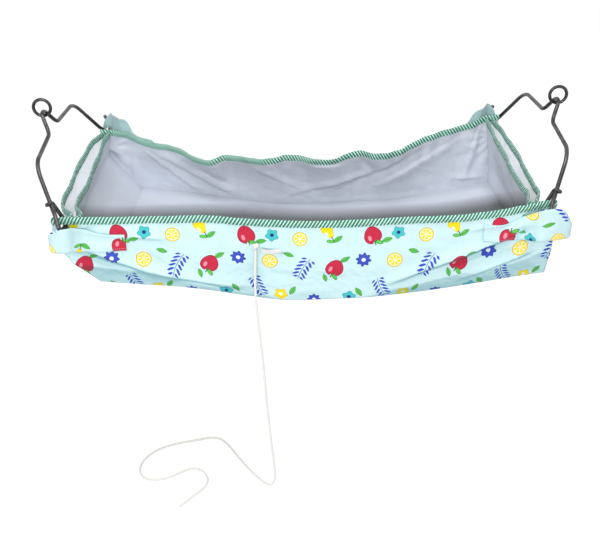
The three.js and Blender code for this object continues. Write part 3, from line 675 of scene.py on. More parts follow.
def share_curve(pairs):
    """A smooth curve through listed pairs of share and value."""
    xs, ys = np.array(pairs, float).T
    places = np.arange(len(xs))
    before, after = np.maximum(places - 1, 0), np.minimum(places + 1, len(xs) - 1)
    slope = (ys[after] - ys[before]) / (xs[after] - xs[before])

    def at(share):
        t = np.clip(share, xs[0], xs[-1])
        i = np.clip(np.searchsorted(xs[1:-1], t), 0, len(xs) - 2)
        span = xs[i + 1] - xs[i]
        s = (t - xs[i]) / span
        rise = s * s * (3 - 2 * s)
        lean = span * s * (1 - s) * (slope[i] * (1 - s) - slope[i + 1] * s)
        return ys[i] * (1 - rise) + ys[i + 1] * rise + lean

    return at


front_sag, back_sag = share_curve(FRONT_SAG_SHARES), share_curve(BACK_SAG_SHARES)
depth_curve, crease_curve = share_curve(DEPTH_SHARES), share_curve(CREASE_SHARES)
tuck_curve, end_swing = share_curve(EAR_TUCK_SHARES), share_curve(END_SWING_SHARES)
end_bulge = {end: share_curve(BULGE_SHARES[end]) for end in (-1, 1)}


def hump(share):
    """Zero at both ends of a span and one at its middle."""
    return 4 * share * (1 - share)


def mix(a, b, share):
    return a + (b - a) * share


def rim_height(side, u):
    sag = FRONT_SAG * front_sag(u) if side < 0 else BACK_SAG * back_sag(u)
    return -LEFT_RIM_DROP * (1 - u) - sag


def bottom_height(u):
    return -mix(mix(LEFT_DEPTH, RIGHT_DEPTH, u), MIDDLE_DEPTH, depth_curve(u))


def wall_form(side, u, t):
    """Outer face's distance from the middle plane, at a share t of the height below the binding."""
    out = HALF_WIDTH - EAR_TUCK * tuck_curve(np.minimum(u, 1 - u)) * (1 - t)
    if side < 0:
        past = np.maximum(0, t - crease_curve(u))
        billow = np.sin(t * math.pi) * (1 - t * BILLOW_TAPER_SHARE)
        return out + FRONT_BILLOW * hump(u) * billow - TUCK_SLOPE * past * (-bottom_height(u) - ZONE)
    bow = mix(BACK_BOW, BACK_BOTTOM_BOW, t) * np.maximum(back_sag(u), 0)
    return out - bow + BACK_BILLOW * hump(u) * np.sin(t * math.pi)


def past_ear(end, height):
    return np.clip((-height - EAR_DEPTH) / (END_DEPTH[end] - EAR_DEPTH), 0, 1)


def edge_x(end, height, s):
    """The walls' ends, at a share s of the way from the front wall to the shorter back wall."""
    return end * (HALF - BACK_CORNER_INSET * s - END_INSET[end] * past_ear(end, height))


def across_length(side, u, height):
    s = 0 if side < 0 else 1
    return mix(edge_x(-1, height, s), edge_x(1, height, s), u)


def share_at(x, height, side):
    s = 0 if side < 0 else 1
    left = edge_x(-1, height, s)
    return (x - left) / (edge_x(1, height, s) - left)


def soft_noise(x, y, size, seed):
    """Smooth noise from -1 to 1, with bumps about size wide."""
    lattice = np.random.default_rng(seed).uniform(-1, 1, (64, 64))
    column, row = np.floor(x / size).astype(int), np.floor(y / size).astype(int)
    a, b = x / size - column, y / size - row
    a, b = a * a * (3 - 2 * a), b * b * (3 - 2 * b)
    low = mix(lattice[column % 64, row % 64], lattice[(column + 1) % 64, row % 64], a)
    high = mix(lattice[column % 64, (row + 1) % 64], lattice[(column + 1) % 64, (row + 1) % 64], a)
    return mix(low, high, b)


def crease(x, z, row):
    """A fold along a line on a panel: soft on one side, steep on the other, and gone at its ends."""
    x_from, z_from, x_to, z_to, width, height = row
    length = math.hypot(x_to - x_from, z_to - z_from)
    ax, az = (x_to - x_from) / length, (z_to - z_from) / length
    along = np.clip(((x - x_from) * ax + (z - z_from) * az) / length, 0, 1)
    across = (z - z_from) * ax - (x - x_from) * az
    steep = np.where(across > 0, across / width, across / (width * CREASE_STEEP_SHARE))
    return height * hump(along) * np.exp(-steep * steep)


def fan(x, z, centre):
    """Folds that spread from a corner where the cloth is gathered."""
    dx, dz = x - centre[0], z - centre[1]
    far = np.hypot(dx, dz)
    wave = np.cos(FAN_COUNT * np.arctan2(dz, dx) + 2.5 * soft_noise(x, z, 0.06, 11))
    return FAN_HEIGHT * wave * np.exp(-far / FAN_REACH) * (1 - np.exp(-(far / FAN_HEART) ** 2))


CREASE_STEEP_SHARE = 0.4
FAN_COUNT, FAN_REACH, FAN_HEIGHT, FAN_HEART, FAN_DROP = 13, 0.05, 0.0026, 0.03, 0.045
# The back wall's fine upright ripples: height, radians to a metre, and where they start and how fast
RIPPLE_HEIGHT, RIPPLE_TURN, RIPPLE_FOOT, RIPPLE_FADE = 0.0016, 160, 0.21, 0.14
HEM_FADE = 0.02
# Folds of each long wall: from x and z, to x and z, width and height; above zero stands outwards
FRONT_FOLDS = [
    (-0.440, -0.062, -0.240, -0.148, 0.013, 0.0084),
    (-0.330, -0.108, -0.120, -0.176, 0.012, 0.0077),
    (-0.445, -0.080, -0.330, -0.126, 0.007, -0.0049),
    (-0.250, -0.150, -0.070, -0.186, 0.008, -0.0042),
    (0.145, -0.168, 0.330, -0.090, 0.013, 0.0084),
    (0.240, -0.134, 0.440, -0.040, 0.010, 0.0084),
    (0.290, -0.166, 0.430, -0.104, 0.010, 0.0070),
    (0.260, -0.140, 0.400, -0.076, 0.007, -0.0056),
    (0.340, -0.150, 0.445, -0.106, 0.006, -0.0048),
    (0.300, -0.058, 0.400, -0.038, 0.006, 0.0039),
    (-0.345, -0.048, -0.250, -0.056, 0.006, 0.0031),
    (-0.090, -0.076, -0.030, -0.092, 0.006, 0.0042),
    (-0.070, -0.030, -0.074, -0.080, 0.006, 0.0028),
    (-0.030, -0.034, -0.034, -0.090, 0.006, 0.0025),
    (-0.160, -0.040, -0.164, -0.085, 0.007, 0.0022),
]
BACK_FOLDS = [
    (-0.390, -0.014, -0.130, -0.182, 0.015, -0.0065),
    (-0.382, -0.026, -0.230, -0.166, 0.012, -0.0055),
    (-0.240, -0.090, -0.155, -0.146, 0.010, 0.0050),
    (-0.380, -0.060, -0.394, -0.160, 0.009, -0.0050),
    (-0.446, -0.050, -0.405, -0.070, 0.007, -0.0040),
    (0.413, -0.006, 0.378, -0.155, 0.009, -0.0055),
    (0.345, -0.146, 0.430, -0.150, 0.008, -0.0040),
    (0.380, -0.040, 0.150, -0.160, 0.016, -0.0055),
    (0.300, -0.050, 0.060, -0.168, 0.012, 0.0036),
    (-0.036, -0.170, 0.170, -0.112, 0.012, -0.0050),
    (0.016, -0.078, 0.106, -0.078, 0.013, 0.0065),
    (0.130, -0.066, 0.170, -0.120, 0.012, 0.0045),
    (-0.060, -0.076, -0.030, -0.140, 0.012, 0.0046),
    (-0.180, -0.076, -0.165, -0.130, 0.011, 0.0044),
    (0.220, -0.060, 0.236, -0.120, 0.011, 0.0040),
    (-0.120, -0.080, 0.010, -0.160, 0.010, -0.0034),
]
FOLDS = {-1: FRONT_FOLDS, 1: BACK_FOLDS}


def relief(side, x, z):
    """How far a wall's folds stand out from its plain form."""
    height = sum(crease(x, z, row) for row in FOLDS[side])
    for end in (-1, 1):
        height = height + fan(x, z, (end * PIVOT_X, -FAN_DROP))
    for rise, across, up, size, seed in (
        (0.0022, x, z * 1.4, 0.085, 5),
        (0.0011, x + z, z - 0.4 * x, 0.030, 25),
        (0.0005, x - 0.7 * z, 2 * z + x, 0.013, 35),
    ):
        height = height + rise * soft_noise(across, up, size, seed + side)
    if side > 0:
        hung = np.clip((z + RIPPLE_FOOT) / RIPPLE_FADE, 0, 1)
        height = height + RIPPLE_HEIGHT * hung * np.sin(x * RIPPLE_TURN + 3 * soft_noise(x, z, 0.08, 45))
    return height


def below_binding(top, bottom, height):
    return np.clip((top - ZONE - height) / (top - ZONE - bottom), 0, 1)


def out_from(side, u, x, z):
    """Distance of a wall's outer face from the middle plane, at a share u of its length."""
    t = below_binding(rim_height(side, u), bottom_height(u), z)
    fade = np.clip((z - bottom_height(u)) / HEM_FADE, 0, 1)
    return wall_form(side, u, t) + relief(side, x, z) * fade


def out_at(side, x, z):
    """The same at a place on the wall."""
    return out_from(side, share_at(x, z, side), x, z)


def stacked(*parts):
    """Parts spread over one grid, as the measures of its points."""
    return np.stack(np.broadcast_arrays(*parts), axis=-1)


def placed(x, y, z):
    """Points told from the middle of the rim, in the frame."""
    return stacked(x, y, z) + RIM


def normals_of(grid, towards):
    across = np.gradient(grid, axis=1)
    down = np.gradient(grid, axis=0)
    normals = unit(np.cross(across, down))
    facing = np.sign((normals * np.array(towards)).sum(-1, keepdims=True).mean())
    return normals * facing


def cloth_piece(name, node, grid, towards, thickness, places, looks, flat, slot, hole=None, **sheet):
    """A panel of cloth that stands for its CAD node; the grid is its outer face."""
    inner = grid - normals_of(grid, towards) * thickness
    piece = sheet_piece(name, grid, inner, places, looks, hole)
    stand_in(piece, node, "sling")
    return piece


def add_shade(piece, rule):
    """Give each of a piece's points the painted shade, from 0 to 1, that a rule makes of its place from the
    rim.
    """
    places = np.empty(3 * len(piece.data.vertices), np.float32)
    piece.data.vertices.foreach_get("co", places)
    x, y, z = (places.reshape(-1, 3) - RIM).T
    layer = piece.data.attributes.new("shade", "FLOAT", "POINT")
    layer.data.foreach_set("value", np.clip(rule(x, y, z), 0, 1).astype(np.float32))


LEAN_REACH = 0.003
# The shadow painted behind the front wall: the slope of its edge, how far it fades above and below that, and
# how fast
SHADE_SLOPE, SHADE_REACH, SHADE_FOOT, SHADE_POWER = 0.49, 0.036, 0.15, 0.8


def lean_at(side, x, z):
    """How steeply a wall's face turns outwards on the way down."""
    return (out_at(side, x, z - LEAN_REACH) - out_at(side, x, z + LEAN_REACH)) / (2 * LEAN_REACH)


def shadow_behind_front(x, y, z):
    """A shadow painted behind the front wall, darkest where the rim just hides the cloth."""
    under = rim_height(-1, np.clip(share_at(x, z, -1), 0, 1)) - z - SHADE_SLOPE * (y + HALF_WIDTH)
    return np.clip(1 + under / SHADE_REACH, 0, 1) ** SHADE_POWER * np.clip(1 - under / SHADE_FOOT, 0, 1)


CLOTH_STEP = 0.004
SIDES = {-1: "front", 1: "back"}
ENDS = {-1: "left", 1: "right"}
BARS = ["left_bail", "right_bail"]
WALL_HOLE, STRAP_HOLE = (0.007, 0.008), (0.008, 0.0075)
# How strongly painted shade darkens a slope of the cloth, outside and inside, and the painted shade of the
# base's lining
PRINT_LEAN_SHADE, LINING_LEAN_SHADE, BASE_SHADE = 1.25, 0.25, 0.08
# Painted shade taken off the print panels everywhere, so level cloth keeps its own colour
LEVEL_SHADE = 0.03


def wall_grid(side, inward):
    """A long wall's face as a grid of rows down from the rim, with each point's place on the cloth."""
    u = np.linspace(0, 1, round(RIM_LENGTH / CLOTH_STEP) + 1)[None]
    v = np.linspace(0, 1, round(MIDDLE_DEPTH / CLOTH_STEP) + 1)[:, None]
    top, bottom = rim_height(side, u), bottom_height(u)
    z = mix(top, bottom, v)
    x = across_length(side, u, np.minimum(z, top - ZONE))
    y = side * (out_from(side, u, x, z) - inward)
    return placed(x, y, z), stacked(x, top - z)


def bar_holes(grid, half_width, half_height):
    """The quads of a cloth that the hooks' bars pass through."""
    middle = (grid[:-1, :-1] + grid[1:, 1:]) / 2 - RIM
    near = np.abs(np.abs(middle[..., 0]) - PIVOT_X) < half_width
    return near & (np.abs(middle[..., 2] + PIVOT_DROP) < half_height), middle


def make_walls():
    for side in (-1, 1):
        name = SIDES[side]
        flat = (RIM_LENGTH, MIDDLE_DEPTH)
        grid, places = wall_grid(side, 0)
        hole = bar_holes(grid, *WALL_HOLE)[0] if side < 0 else None
        places = places + np.array([0.031 * side, 0.052 * side])
        panel = cloth_piece(f"{name}_print_panel", f"outer_{name}_panel", grid, (0, side, 0), OUTER_CLOTH,
                            places, [PRINT, LINING], flat, "printed_cotton", hole, rests_on=BARS)
        # Painted shade on the print where the wall's face turns downwards
        add_shade(panel, lambda x, y, z: -PRINT_LEAN_SHADE * lean_at(side, x, z) - LEVEL_SHADE)
        grid, places = wall_grid(side, OUTER_CLOTH + SEAM_GAP)
        lining = cloth_piece(f"{name}_lining_sheet", f"lining_{name}_panel", grid, (0, side, 0),
                             LINING_CLOTH, places, [LINING], flat, "lining_cotton", hole,
                             rests_on=[f"{name}_print_panel"])
        # Painted shade on the lining's slopes, and the shadow painted behind the front wall
        inside = LINING_LEAN_SHADE * side
        add_shade(lining, lambda x, y, z: inside * lean_at(side, x, z) + shadow_behind_front(x, y, z))


# The end panels: end is -1 at the left and 1 at the right, s runs from front to back


def end_x(end, height, s):
    reach = mix(END_REACH[end], EAR_REACH, end_swing(s))
    return edge_x(end, height, s) - end * mix(reach, BOTTOM_REACH, past_ear(end, height))


def corner_share(end):
    return share_at(end_x(end, -EAR_DEPTH, 0), -EAR_DEPTH, -1)


def foot_share(end):
    return share_at(end_x(end, -MIDDLE_DEPTH, 0), -MIDDLE_DEPTH, -1)


def end_top(end, s):
    corner = corner_share(end)
    return mix(rim_height(-1, corner), rim_height(1, corner), s) - END_SAG[end] * hump(s)


def flush(end, s, t):
    """No distance in from the outer face, for every place."""
    return 0 * s * t


def pocket(end, s, t):
    """How far the lining hangs in from the outer face: an open pocket that closes on its way down."""
    mouth = mix(POCKET_CORNER, POCKET_WIDTH[end], np.sqrt(np.maximum(hump(s), 0)))
    closed = np.minimum(1, t * (LEFT_DEPTH - ZONE) / POCKET_DEPTH)
    return OUTER_CLOTH + mix(mouth, SEAM_GAP, closed)


def end_relief(end, s, z):
    y = mix(-HALF_WIDTH, HALF_WIDTH, s)
    soft = 0.0022 * soft_noise(y, z * 1.3, 0.07, 41 + end)
    soft = soft + 0.0009 * soft_noise(y + z, z - y, 0.028, 51 + end)
    wave = np.cos(7 * math.pi * s + 2 * soft_noise(y, z, 0.09, 61))
    return soft + 0.0022 * wave * hump(s) * np.exp(z / 0.08)


def end_point(end, s, z, inward):
    """A place on an end panel's outer face."""
    top, bottom = end_top(end, s), bottom_height(foot_share(end))
    t = below_binding(top, bottom, z)
    fade = np.clip((z - bottom) / HEM_FADE, 0, 1) * np.clip(hump(s) * 3, 0, 1)
    raised = END_BULGE[end] * end_bulge[end](s) * (1 - t) + end_relief(end, s, z) * fade
    x = end_x(end, z, s) + end * (raised - inward(end, s, t))
    front = -out_at(-1, end_x(end, z, 0) - end * inward(end, 0, t), z) + WALL / 2
    back = out_at(1, end_x(end, z, 1) - end * inward(end, 1, t), z) - WALL / 2
    return placed(x, mix(front, back, s), z)


def end_grid(end, inward):
    s = np.linspace(0, 1, round(RIM_WIDTH / CLOTH_STEP) + 1)[None]
    v = np.linspace(0, 1, round(LEFT_DEPTH / CLOTH_STEP) + 1)[:, None]
    top, bottom = end_top(end, s), bottom_height(foot_share(end))
    z = mix(top, bottom, v)
    places = stacked(s * RIM_WIDTH * -end, z - top)
    return end_point(end, s, z, inward), places


def make_ends():
    for end in (-1, 1):
        name = ENDS[end]
        flat = (RIM_WIDTH, END_DEPTH[end])
        grid, places = end_grid(end, flush)
        places = places + np.array([0.08, 0.11 * end])
        cloth_piece(f"{name}_end_print_panel", f"outer_{name}_end_panel", grid, (end, 0, 0), OUTER_CLOTH,
                    places, [PRINT, POCKET], flat, "printed_cotton", rests_on=["front_print_panel"])
        grid, places = end_grid(end, pocket)
        lining = cloth_piece(f"{name}_end_lining_sheet", f"lining_{name}_end_panel", grid, (end, 0, 0),
                             LINING_CLOTH, places, [LINING], flat, "lining_cotton",
                             rests_on=["front_lining_sheet"])
        # The shadow painted behind the front wall, on the end's lining
        add_shade(lining, shadow_behind_front)


def base_grid(lift):
    rows = round(RIM_WIDTH / CLOTH_STEP) + 1
    u = np.linspace(foot_share(-1), foot_share(1), round(RIM_LENGTH / CLOTH_STEP) + 1)[None]
    w = np.linspace(0, 1, rows)[:, None]
    low = bottom_height(u)
    front_x, back_x = across_length(-1, u, low), across_length(1, u, low)
    front = -out_at(-1, front_x, low) + OUTER_CLOTH / 2
    back = out_at(1, back_x, low) - OUTER_CLOTH / 2
    x, y = mix(front_x, back_x, w), mix(front, back, w)
    sag = BASE_SAG * hump(w) * hump(np.linspace(0, 1, u.shape[1]))[None]
    soft = 0.003 * soft_noise(x, y, 0.11, 71) + 0.0012 * soft_noise(x + y, y - 0.3 * x, 0.035, 72)
    wave = np.cos(9 * math.pi * w + 2 * soft_noise(x, y, 0.15, 73))
    pulled = 0.003 * wave * np.exp(-(HALF - np.abs(x)) / 0.12)
    edge = np.clip(hump(w) * 3, 0, 1) * np.clip(hump((u - u[0, 0]) / (u[0, -1] - u[0, 0])) * 6, 0, 1)
    z = low + lift - sag + (soft + pulled) * edge
    return placed(x, y, z), stacked(x, y)


def make_base():
    flat = (RIM_LENGTH, RIM_WIDTH)
    grid, places = base_grid(OUTER_CLOTH)
    grid_low = grid - np.array([0, 0, OUTER_CLOTH])
    cloth_piece("base_print_panel", "outer_base_panel", grid_low, (0, 0, -1), OUTER_CLOTH, places,
                [PRINT, LINING], flat, "printed_cotton", rests_on=["front_print_panel", "back_print_panel"])
    grid, places = base_grid(OUTER_CLOTH + SEAM_GAP)
    lining = cloth_piece("base_lining_sheet", "lining_base_panel", grid, (0, 0, -1), LINING_CLOTH, places,
                         [LINING], flat, "lining_cotton", rests_on=["base_print_panel"])
    # The base's lining gets painted shade all over, and the shadow painted behind the front wall
    add_shade(lining, lambda x, y, z: BASE_SHADE + shadow_behind_front(x, y, z))


make_walls()
make_ends()
make_base()

# Bindings: striped tape folded over every free edge
STITCH_RISE, STITCH_SINK = -0.0095, 0.0003
BINDING_STEP = 0.0025
WIGGLE, WIGGLE_SIZE, WIGGLE_FADE = 0.0004, 0.009, 0.004
BINDING_END = 0.006
# Stitches: pitch, length, radius and thread
BINDING_STITCH = (0.0042, 0.003, 0.0003, GREEN_THREAD)
STRAP_STITCH = (0.0036, 0.0026, 0.00028, THREAD)
TAPE_STITCH = (0.0024, 0.0018, 0.00028, THREAD)


def binding_section(cloth):
    """The folded tape's outline as distance across the edge and height, outside and then inside."""
    outer, inner = WRAP, -cloth - WRAP
    middle, radius = (outer + inner) / 2, (outer - inner) / 2
    leg_shares = np.array([1, 0.93, STITCH_RISE / -BINDING_HEIGHT, 0.66, 0.5, 0.3, 0.12])
    puff = np.array([0.0002, 0, -0.0003, 0.0003, 0.0005, 0.0004, 0.0001])
    angles = np.linspace(0, math.pi, 9)
    crown = np.stack([middle + radius * np.cos(angles), radius * np.sin(angles) - radius + WRAP], axis=1)
    right = np.stack([outer + puff, -BINDING_HEIGHT * leg_shares], axis=1)
    left = np.stack([inner - puff, -BINDING_HEIGHT * leg_shares], axis=1)[::-1]
    outside = np.concatenate([right, crown, left])
    inside_right = right + [-BINDING_TAPE, 0]
    inside_left = left + [BINDING_TAPE, 0]
    top = np.array([[outer - BINDING_TAPE, SEAM_GAP], [inner + BINDING_TAPE, SEAM_GAP]])
    inside = np.concatenate([inside_right, top, inside_left])[::-1]
    return np.concatenate([outside, inside])


def binding_piece(name, node, points, section, length):
    along, across = travelled(points[:, 0]), travelled(section)
    places = stacked(along[:, None], across[None])
    piece = loft_piece(name, points, BINDING, places)
    stand_in(piece, node, "sling")


def stitch_row(name, line, direction, stitch):
    """Thread stitches along a line on a face turned in the direction, each a small bead half in the cloth."""
    pitch, length, radius, look = stitch
    outward = np.tile(direction, (len(line), 1)).astype(float)
    count = max(2, int(length_of(line) / pitch))
    ends = spaced(line, 2 * count + 1)
    start, finish = ends[:-2:2], ends[:-2:2] + unit(ends[2::2] - ends[:-2:2]) * length
    there, here = np.linspace(0, 1, count), np.linspace(0, 1, len(line))
    outward = unit(np.stack([np.interp(there, here, values) for values in outward.T], 1))
    ahead = unit(finish - start)
    cross = unit(np.cross(ahead, outward))
    shares = np.array([0, 0.18, 0.82, 1])
    sizes = np.array([0.35, 1, 1, 0.35])
    angles = np.arange(6) * math.pi / 3
    ring = (np.cos(angles)[:, None, None] * cross + np.sin(angles)[:, None, None] * outward) * radius
    points = []
    for share, size in zip(shares, sizes):
        middle = mix(start, finish, share) + outward * radius * 0.2
        points.append(middle[None] + ring * size)
    points = np.stack(points).transpose(2, 0, 1, 3)
    index = np.arange(24).reshape(4, 6)
    quads = np.stack([index[:-1], np.roll(index[:-1], -1, 1), np.roll(index[1:], -1, 1), index[1:]], -1)
    one = quads.reshape(-1, 4)
    faces = [list(face) for k in range(count) for face in (one + 24 * k).tolist()]
    faces += [(index[0][::-1] + 24 * k).tolist() for k in range(count)]
    faces += [(index[3] + 24 * k).tolist() for k in range(count)]
    points = points.reshape(-1, 3)
    piece = make_piece(name, points, turned_out(points, faces), [look])
    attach(piece, "sling")
    return piece


def wall_line(side, u, drop, stand):
    """A line on a wall at a drop below the rim."""
    top = rim_height(side, u)
    x = across_length(side, u, top - ZONE)
    y = side * (out_from(side, u, x, top - drop) + stand)
    return placed(x, y, top - drop)


def make_rim_bindings():
    section = binding_section(WALL)
    u = np.linspace(0, 1, round(RIM_LENGTH / BINDING_STEP) + 1)
    for side in (-1, 1):
        name = SIDES[side]
        top = rim_height(side, u)
        x = across_length(side, u, top - ZONE)
        z = top[:, None] + section[None, :, 1]
        wiggle = WIGGLE * soft_noise(x, top, WIGGLE_SIZE, 81)[:, None]
        wiggle = wiggle * np.clip(-section[None, :, 1] / WIGGLE_FADE, 0, 1)
        y = side * (out_from(side, u[:, None], x[:, None], z) + section[None, :, 0] + wiggle)
        points = placed(x[:, None], y, z)
        binding_piece(f"{name}_rim_tape", f"{name}_rim_binding", points, section, RIM_LENGTH)
        line = wall_line(side, u, -STITCH_RISE, WRAP - STITCH_SINK)
        stitch_row(f"{name}_rim_stitches", line, [0, side, 0], BINDING_STITCH)
        line = wall_line(side, u, -STITCH_RISE, -WALL - WRAP + STITCH_SINK)
        stitch_row(f"{name}_rim_inner_stitches", line, [0, -side, 0], BINDING_STITCH)


def make_end_bindings():
    count = round(RIM_WIDTH / BINDING_STEP) + 1
    s = np.linspace(BINDING_END, 1 - BINDING_END, count)
    for end in (-1, 1):
        for inward, cloth, kind, panel in ((flush, OUTER_CLOTH, "end", "print_panel"),
                                           (pocket, LINING_CLOTH, "lining", "lining_sheet")):
            name = f"{ENDS[end]}_{kind}"
            section = binding_section(cloth)
            z = end_top(end, s)[:, None] + section[None, :, 1]
            points = end_point(end, s[:, None], z, inward)
            wiggle = WIGGLE * soft_noise(s * RIM_WIDTH, s, WIGGLE_SIZE, 83)[:, None]
            points[..., 0] += end * (section[None, :, 0] + wiggle)
            binding_piece(f"{name}_tape", f"{name}_binding", points, section, RIM_WIDTH)
            for face, stand in ((1, WRAP - STITCH_SINK), (-1, -cloth - WRAP + STITCH_SINK)):
                line = end_point(end, s, end_top(end, s) + STITCH_RISE, inward)
                line[:, 0] += end * stand
                label = "outer" if face > 0 else "inner"
                stitch_row(f"{name}_{label}_stitches", line, [face * end, 0, 0], BINDING_STITCH)


make_rim_bindings()
make_end_bindings()

# Corner straps: sewn flat on a long wall, round the hook in a standing loop, and sewn to the end panel
STRAP_CLOTH, STRAP_WIDTH, STRAP_GAP, STRAP_END_GAP = 0.0015, 0.033, 0.0005, 0.0009
STRAP_TOP = {-1: 0.044, 1: 0.019}
STRAP_BOTTOM, STRAP_START, STRAP_END, STRAP_END_SEWN = 0.068, 0.061, 0.135, 0.100
OUTBOARD_TOP = 0.042
LOOP_OUT = {-1: HALF_WIDTH + 0.028, 1: HALF_WIDTH + 0.042}
LOOP_OVERHANG = {(-1, -1): 0.029, (1, -1): 0.049, (-1, 1): 0.014, (1, 1): 0.014}
LOOP_PEAK = {(-1, -1): 0.019, (1, -1): 0.003, (-1, 1): -0.017, (1, 1): -0.017}
FOOT_OUT = HALF_WIDTH + 0.034
STRAP_FLAT_SHARES = [0, 0.2, 0.4, 0.6, 0.8, 1]
LOOP_RISE_SHARES = [(0.42, 0.38), (0.76, 0.9)]
LOOP_TURN_SHARES = [(0.5, 0.04), (0.87, 0.3)]
LOOP_RETURN_SHARES = [(1, 0.8), (0.9, 1.4)]
LOOP_CLOSE_SHARES = [0.46, 0.53, 0.6, 0.67]
END_SEWN_SHARES = [0.75, 0.83, 1]
OUTBOARD_START_SHARE = 0.575
STRAP_TOP_SHARES = {
    -1: [(0, 0), (0.12, 0), (0.2, 0.2), (0.28, 0.5), (0.36, 0.88), (0.42, 1), (0.49, 0.85)],
    1: [(0, -0.3), (0.1, -0.1), (0.16, 0.15), (0.21, 0.8), (0.25, 1), (0.43, 1), (0.47, 0.85), (0.51, 0.4)],
}
STRAP_FOOT_SHARES = [(0, 0), (0.28, 0), (0.42, 1), (1, 1)]
STRAP_STATIONS, STRAP_ROWS = 130, 16
STRAP_SEWN_SHARE, STRAP_STITCH_ROW = 0.24, 2
RIPPLE_SIZE, STRAP_RIPPLE = 0.022, 0.0014
HEM_RISE, HEM_PLACE, HEM_WIDTH = 0.0006, 0.12, 0.05


def strap_path(end, side, drop):
    """A strap's line seen from above at one height, as pairs of distance along X and distance out."""
    clear = STRAP_GAP if side < 0 else WRAP + STRAP_GAP

    def wall(x):
        return (x, float(out_at(side, end * x, -drop)) + clear)

    def on_end(share):
        out = HALF_WIDTH - STRAP_END_SEWN * share
        s = (HALF_WIDTH + side * out) / RIM_WIDTH
        drops = np.linspace(OUTBOARD_TOP, STRAP_BOTTOM, 4)
        xs = end * (end_point(end, np.full(4, s), -drops, flush)[:, 0] - RIM[0])
        return (float(xs.max()) + STRAP_END_GAP, out)

    start, finish = HALF - STRAP_START, HALF - STRAP_END
    loop_out, loop_x = LOOP_OUT[side], PIVOT_X + LOOP_OVERHANG[end, side]
    rise = loop_out - wall(start)[1]
    flat = [wall(mix(finish, start, share)) for share in STRAP_FLAT_SHARES]
    rising = [(mix(start, PIVOT_X, a), wall(start)[1] + rise * b) for a, b in LOOP_RISE_SHARES]
    turning = [(mix(PIVOT_X, loop_x, a), loop_out - rise * b) for a, b in LOOP_TURN_SHARES]
    back = [(mix(PIVOT_X, loop_x, a), mix(loop_out, HALF_WIDTH, b)) for a, b in LOOP_RETURN_SHARES]
    sewn = [on_end(share) for share in LOOP_CLOSE_SHARES + END_SEWN_SHARES]
    points = flat + rising + [(PIVOT_X, loop_out)] + turning + back + sewn
    line = smooth_line([(x, y, 0) for x, y in points], 0.002)
    return spaced(line, STRAP_STATIONS)[:, :2]


def strap_grid(end, side):
    sewn, peak = STRAP_TOP[side], LOOP_PEAK[end, side]
    top = share_curve([(a, mix(sewn, peak, b)) for a, b in STRAP_TOP_SHARES[side]]
                      + [(OUTBOARD_START_SHARE, OUTBOARD_TOP), (1, OUTBOARD_TOP)])
    foot = share_curve([(a, mix(sewn + STRAP_WIDTH, STRAP_BOTTOM, b)) for a, b in STRAP_FOOT_SHARES])
    along = np.linspace(0, 1, STRAP_STATIONS)
    rows = np.linspace(0, 1, STRAP_ROWS)
    paths = np.array([strap_path(end, side, sewn + STRAP_WIDTH * row) for row in rows])
    ahead = unit(np.gradient(paths, axis=1))
    off = np.stack([-ahead[..., 1], ahead[..., 0]], axis=-1)
    drop = mix(top(along)[None], foot(along)[None], rows[:, None])
    travel = np.cumsum(np.linalg.norm(np.diff(paths, axis=1, prepend=paths[:, :1]), axis=2), axis=1)
    loose = np.clip((along - 0.2) * 8, 0, 1) * np.clip((0.9 - along) * 8, 0, 1)
    ripple = STRAP_RIPPLE * soft_noise(travel, drop, RIPPLE_SIZE, 91 + end + 3 * side) * loose
    hem = HEM_RISE * np.exp(-((np.minimum(rows, 1 - rows) - HEM_PLACE) / HEM_WIDTH) ** 2)[:, None]
    paths = paths + off * (ripple + hem)[..., None]
    places = np.stack([travel * end, -drop], axis=-1)
    return paths, off, drop, places


def make_straps():
    for side in (-1, 1):
        for end in (-1, 1):
            name = f"{SIDES[side]}_{ENDS[end]}_strap"
            paths, off, drop, places = strap_grid(end, side)

            def face(offset):
                flat = paths + off * offset
                return placed(end * flat[..., 0], side * flat[..., 1], -drop)

            near, far, hole = face(0.0), face(STRAP_CLOTH), None
            if side > 0:
                hole, middle = bar_holes(far, *STRAP_HOLE)
                hole &= middle[..., 1] > FOOT_OUT
            places = places + 0.04 * side + 0.09 * end
            piece = sheet_piece(f"{name}_band", far, near, places, [PRINT, REVERSE], hole)
            stand_in(piece, name, "sling")
            for label, row in (("top", STRAP_STITCH_ROW), ("foot", STRAP_ROWS - 1 - STRAP_STITCH_ROW)):
                line = far[row, :round(STRAP_STATIONS * STRAP_SEWN_SHARE)]
                stitch_row(f"{name}_{label}_stitches", line, [0, side, 0], STRAP_STITCH)


make_straps()

# Bails: one bent wire each, drawn in its own plane as pairs of Y and rise above the hooks' bars
WIRE_RADIUS, BAIL_LEAN = 0.004, 25.6
RIM_CROSS, SHOULDER, DIP = (0.232, 0.0275), (0.172, 0.114), (0.0345, 0.1225)
EYE_HALF, EYE_RISE = 0.010, 0.1595
FRONT_TIP, FRONT_RETURN, BACK_RETURN = (0.234, 0.054), (0.209, 0.047), (0.306, 0.030)
HOOK_BEND, TIP_BEND, CROSS_BEND, SHOULDER_BEND, DIP_BEND = 0.009, 0.007, 0.029, 0.061, 0.025
RING_OUTSIDE, RING_WIRE = 0.040, 0.0065
WIRE_SIDES, WIRE_STEP, WIRE_END_SHARE = 28, 0.0025, 0.86
BEND_POINTS = 16
RING_STATIONS, RING_SIDES = 96, 24
# The ring's weld: a bead and a dent, each a place round the ring, width and height
WELD = ((0.6, 0.05, 0.05), (0.72, 0.03, -0.03))


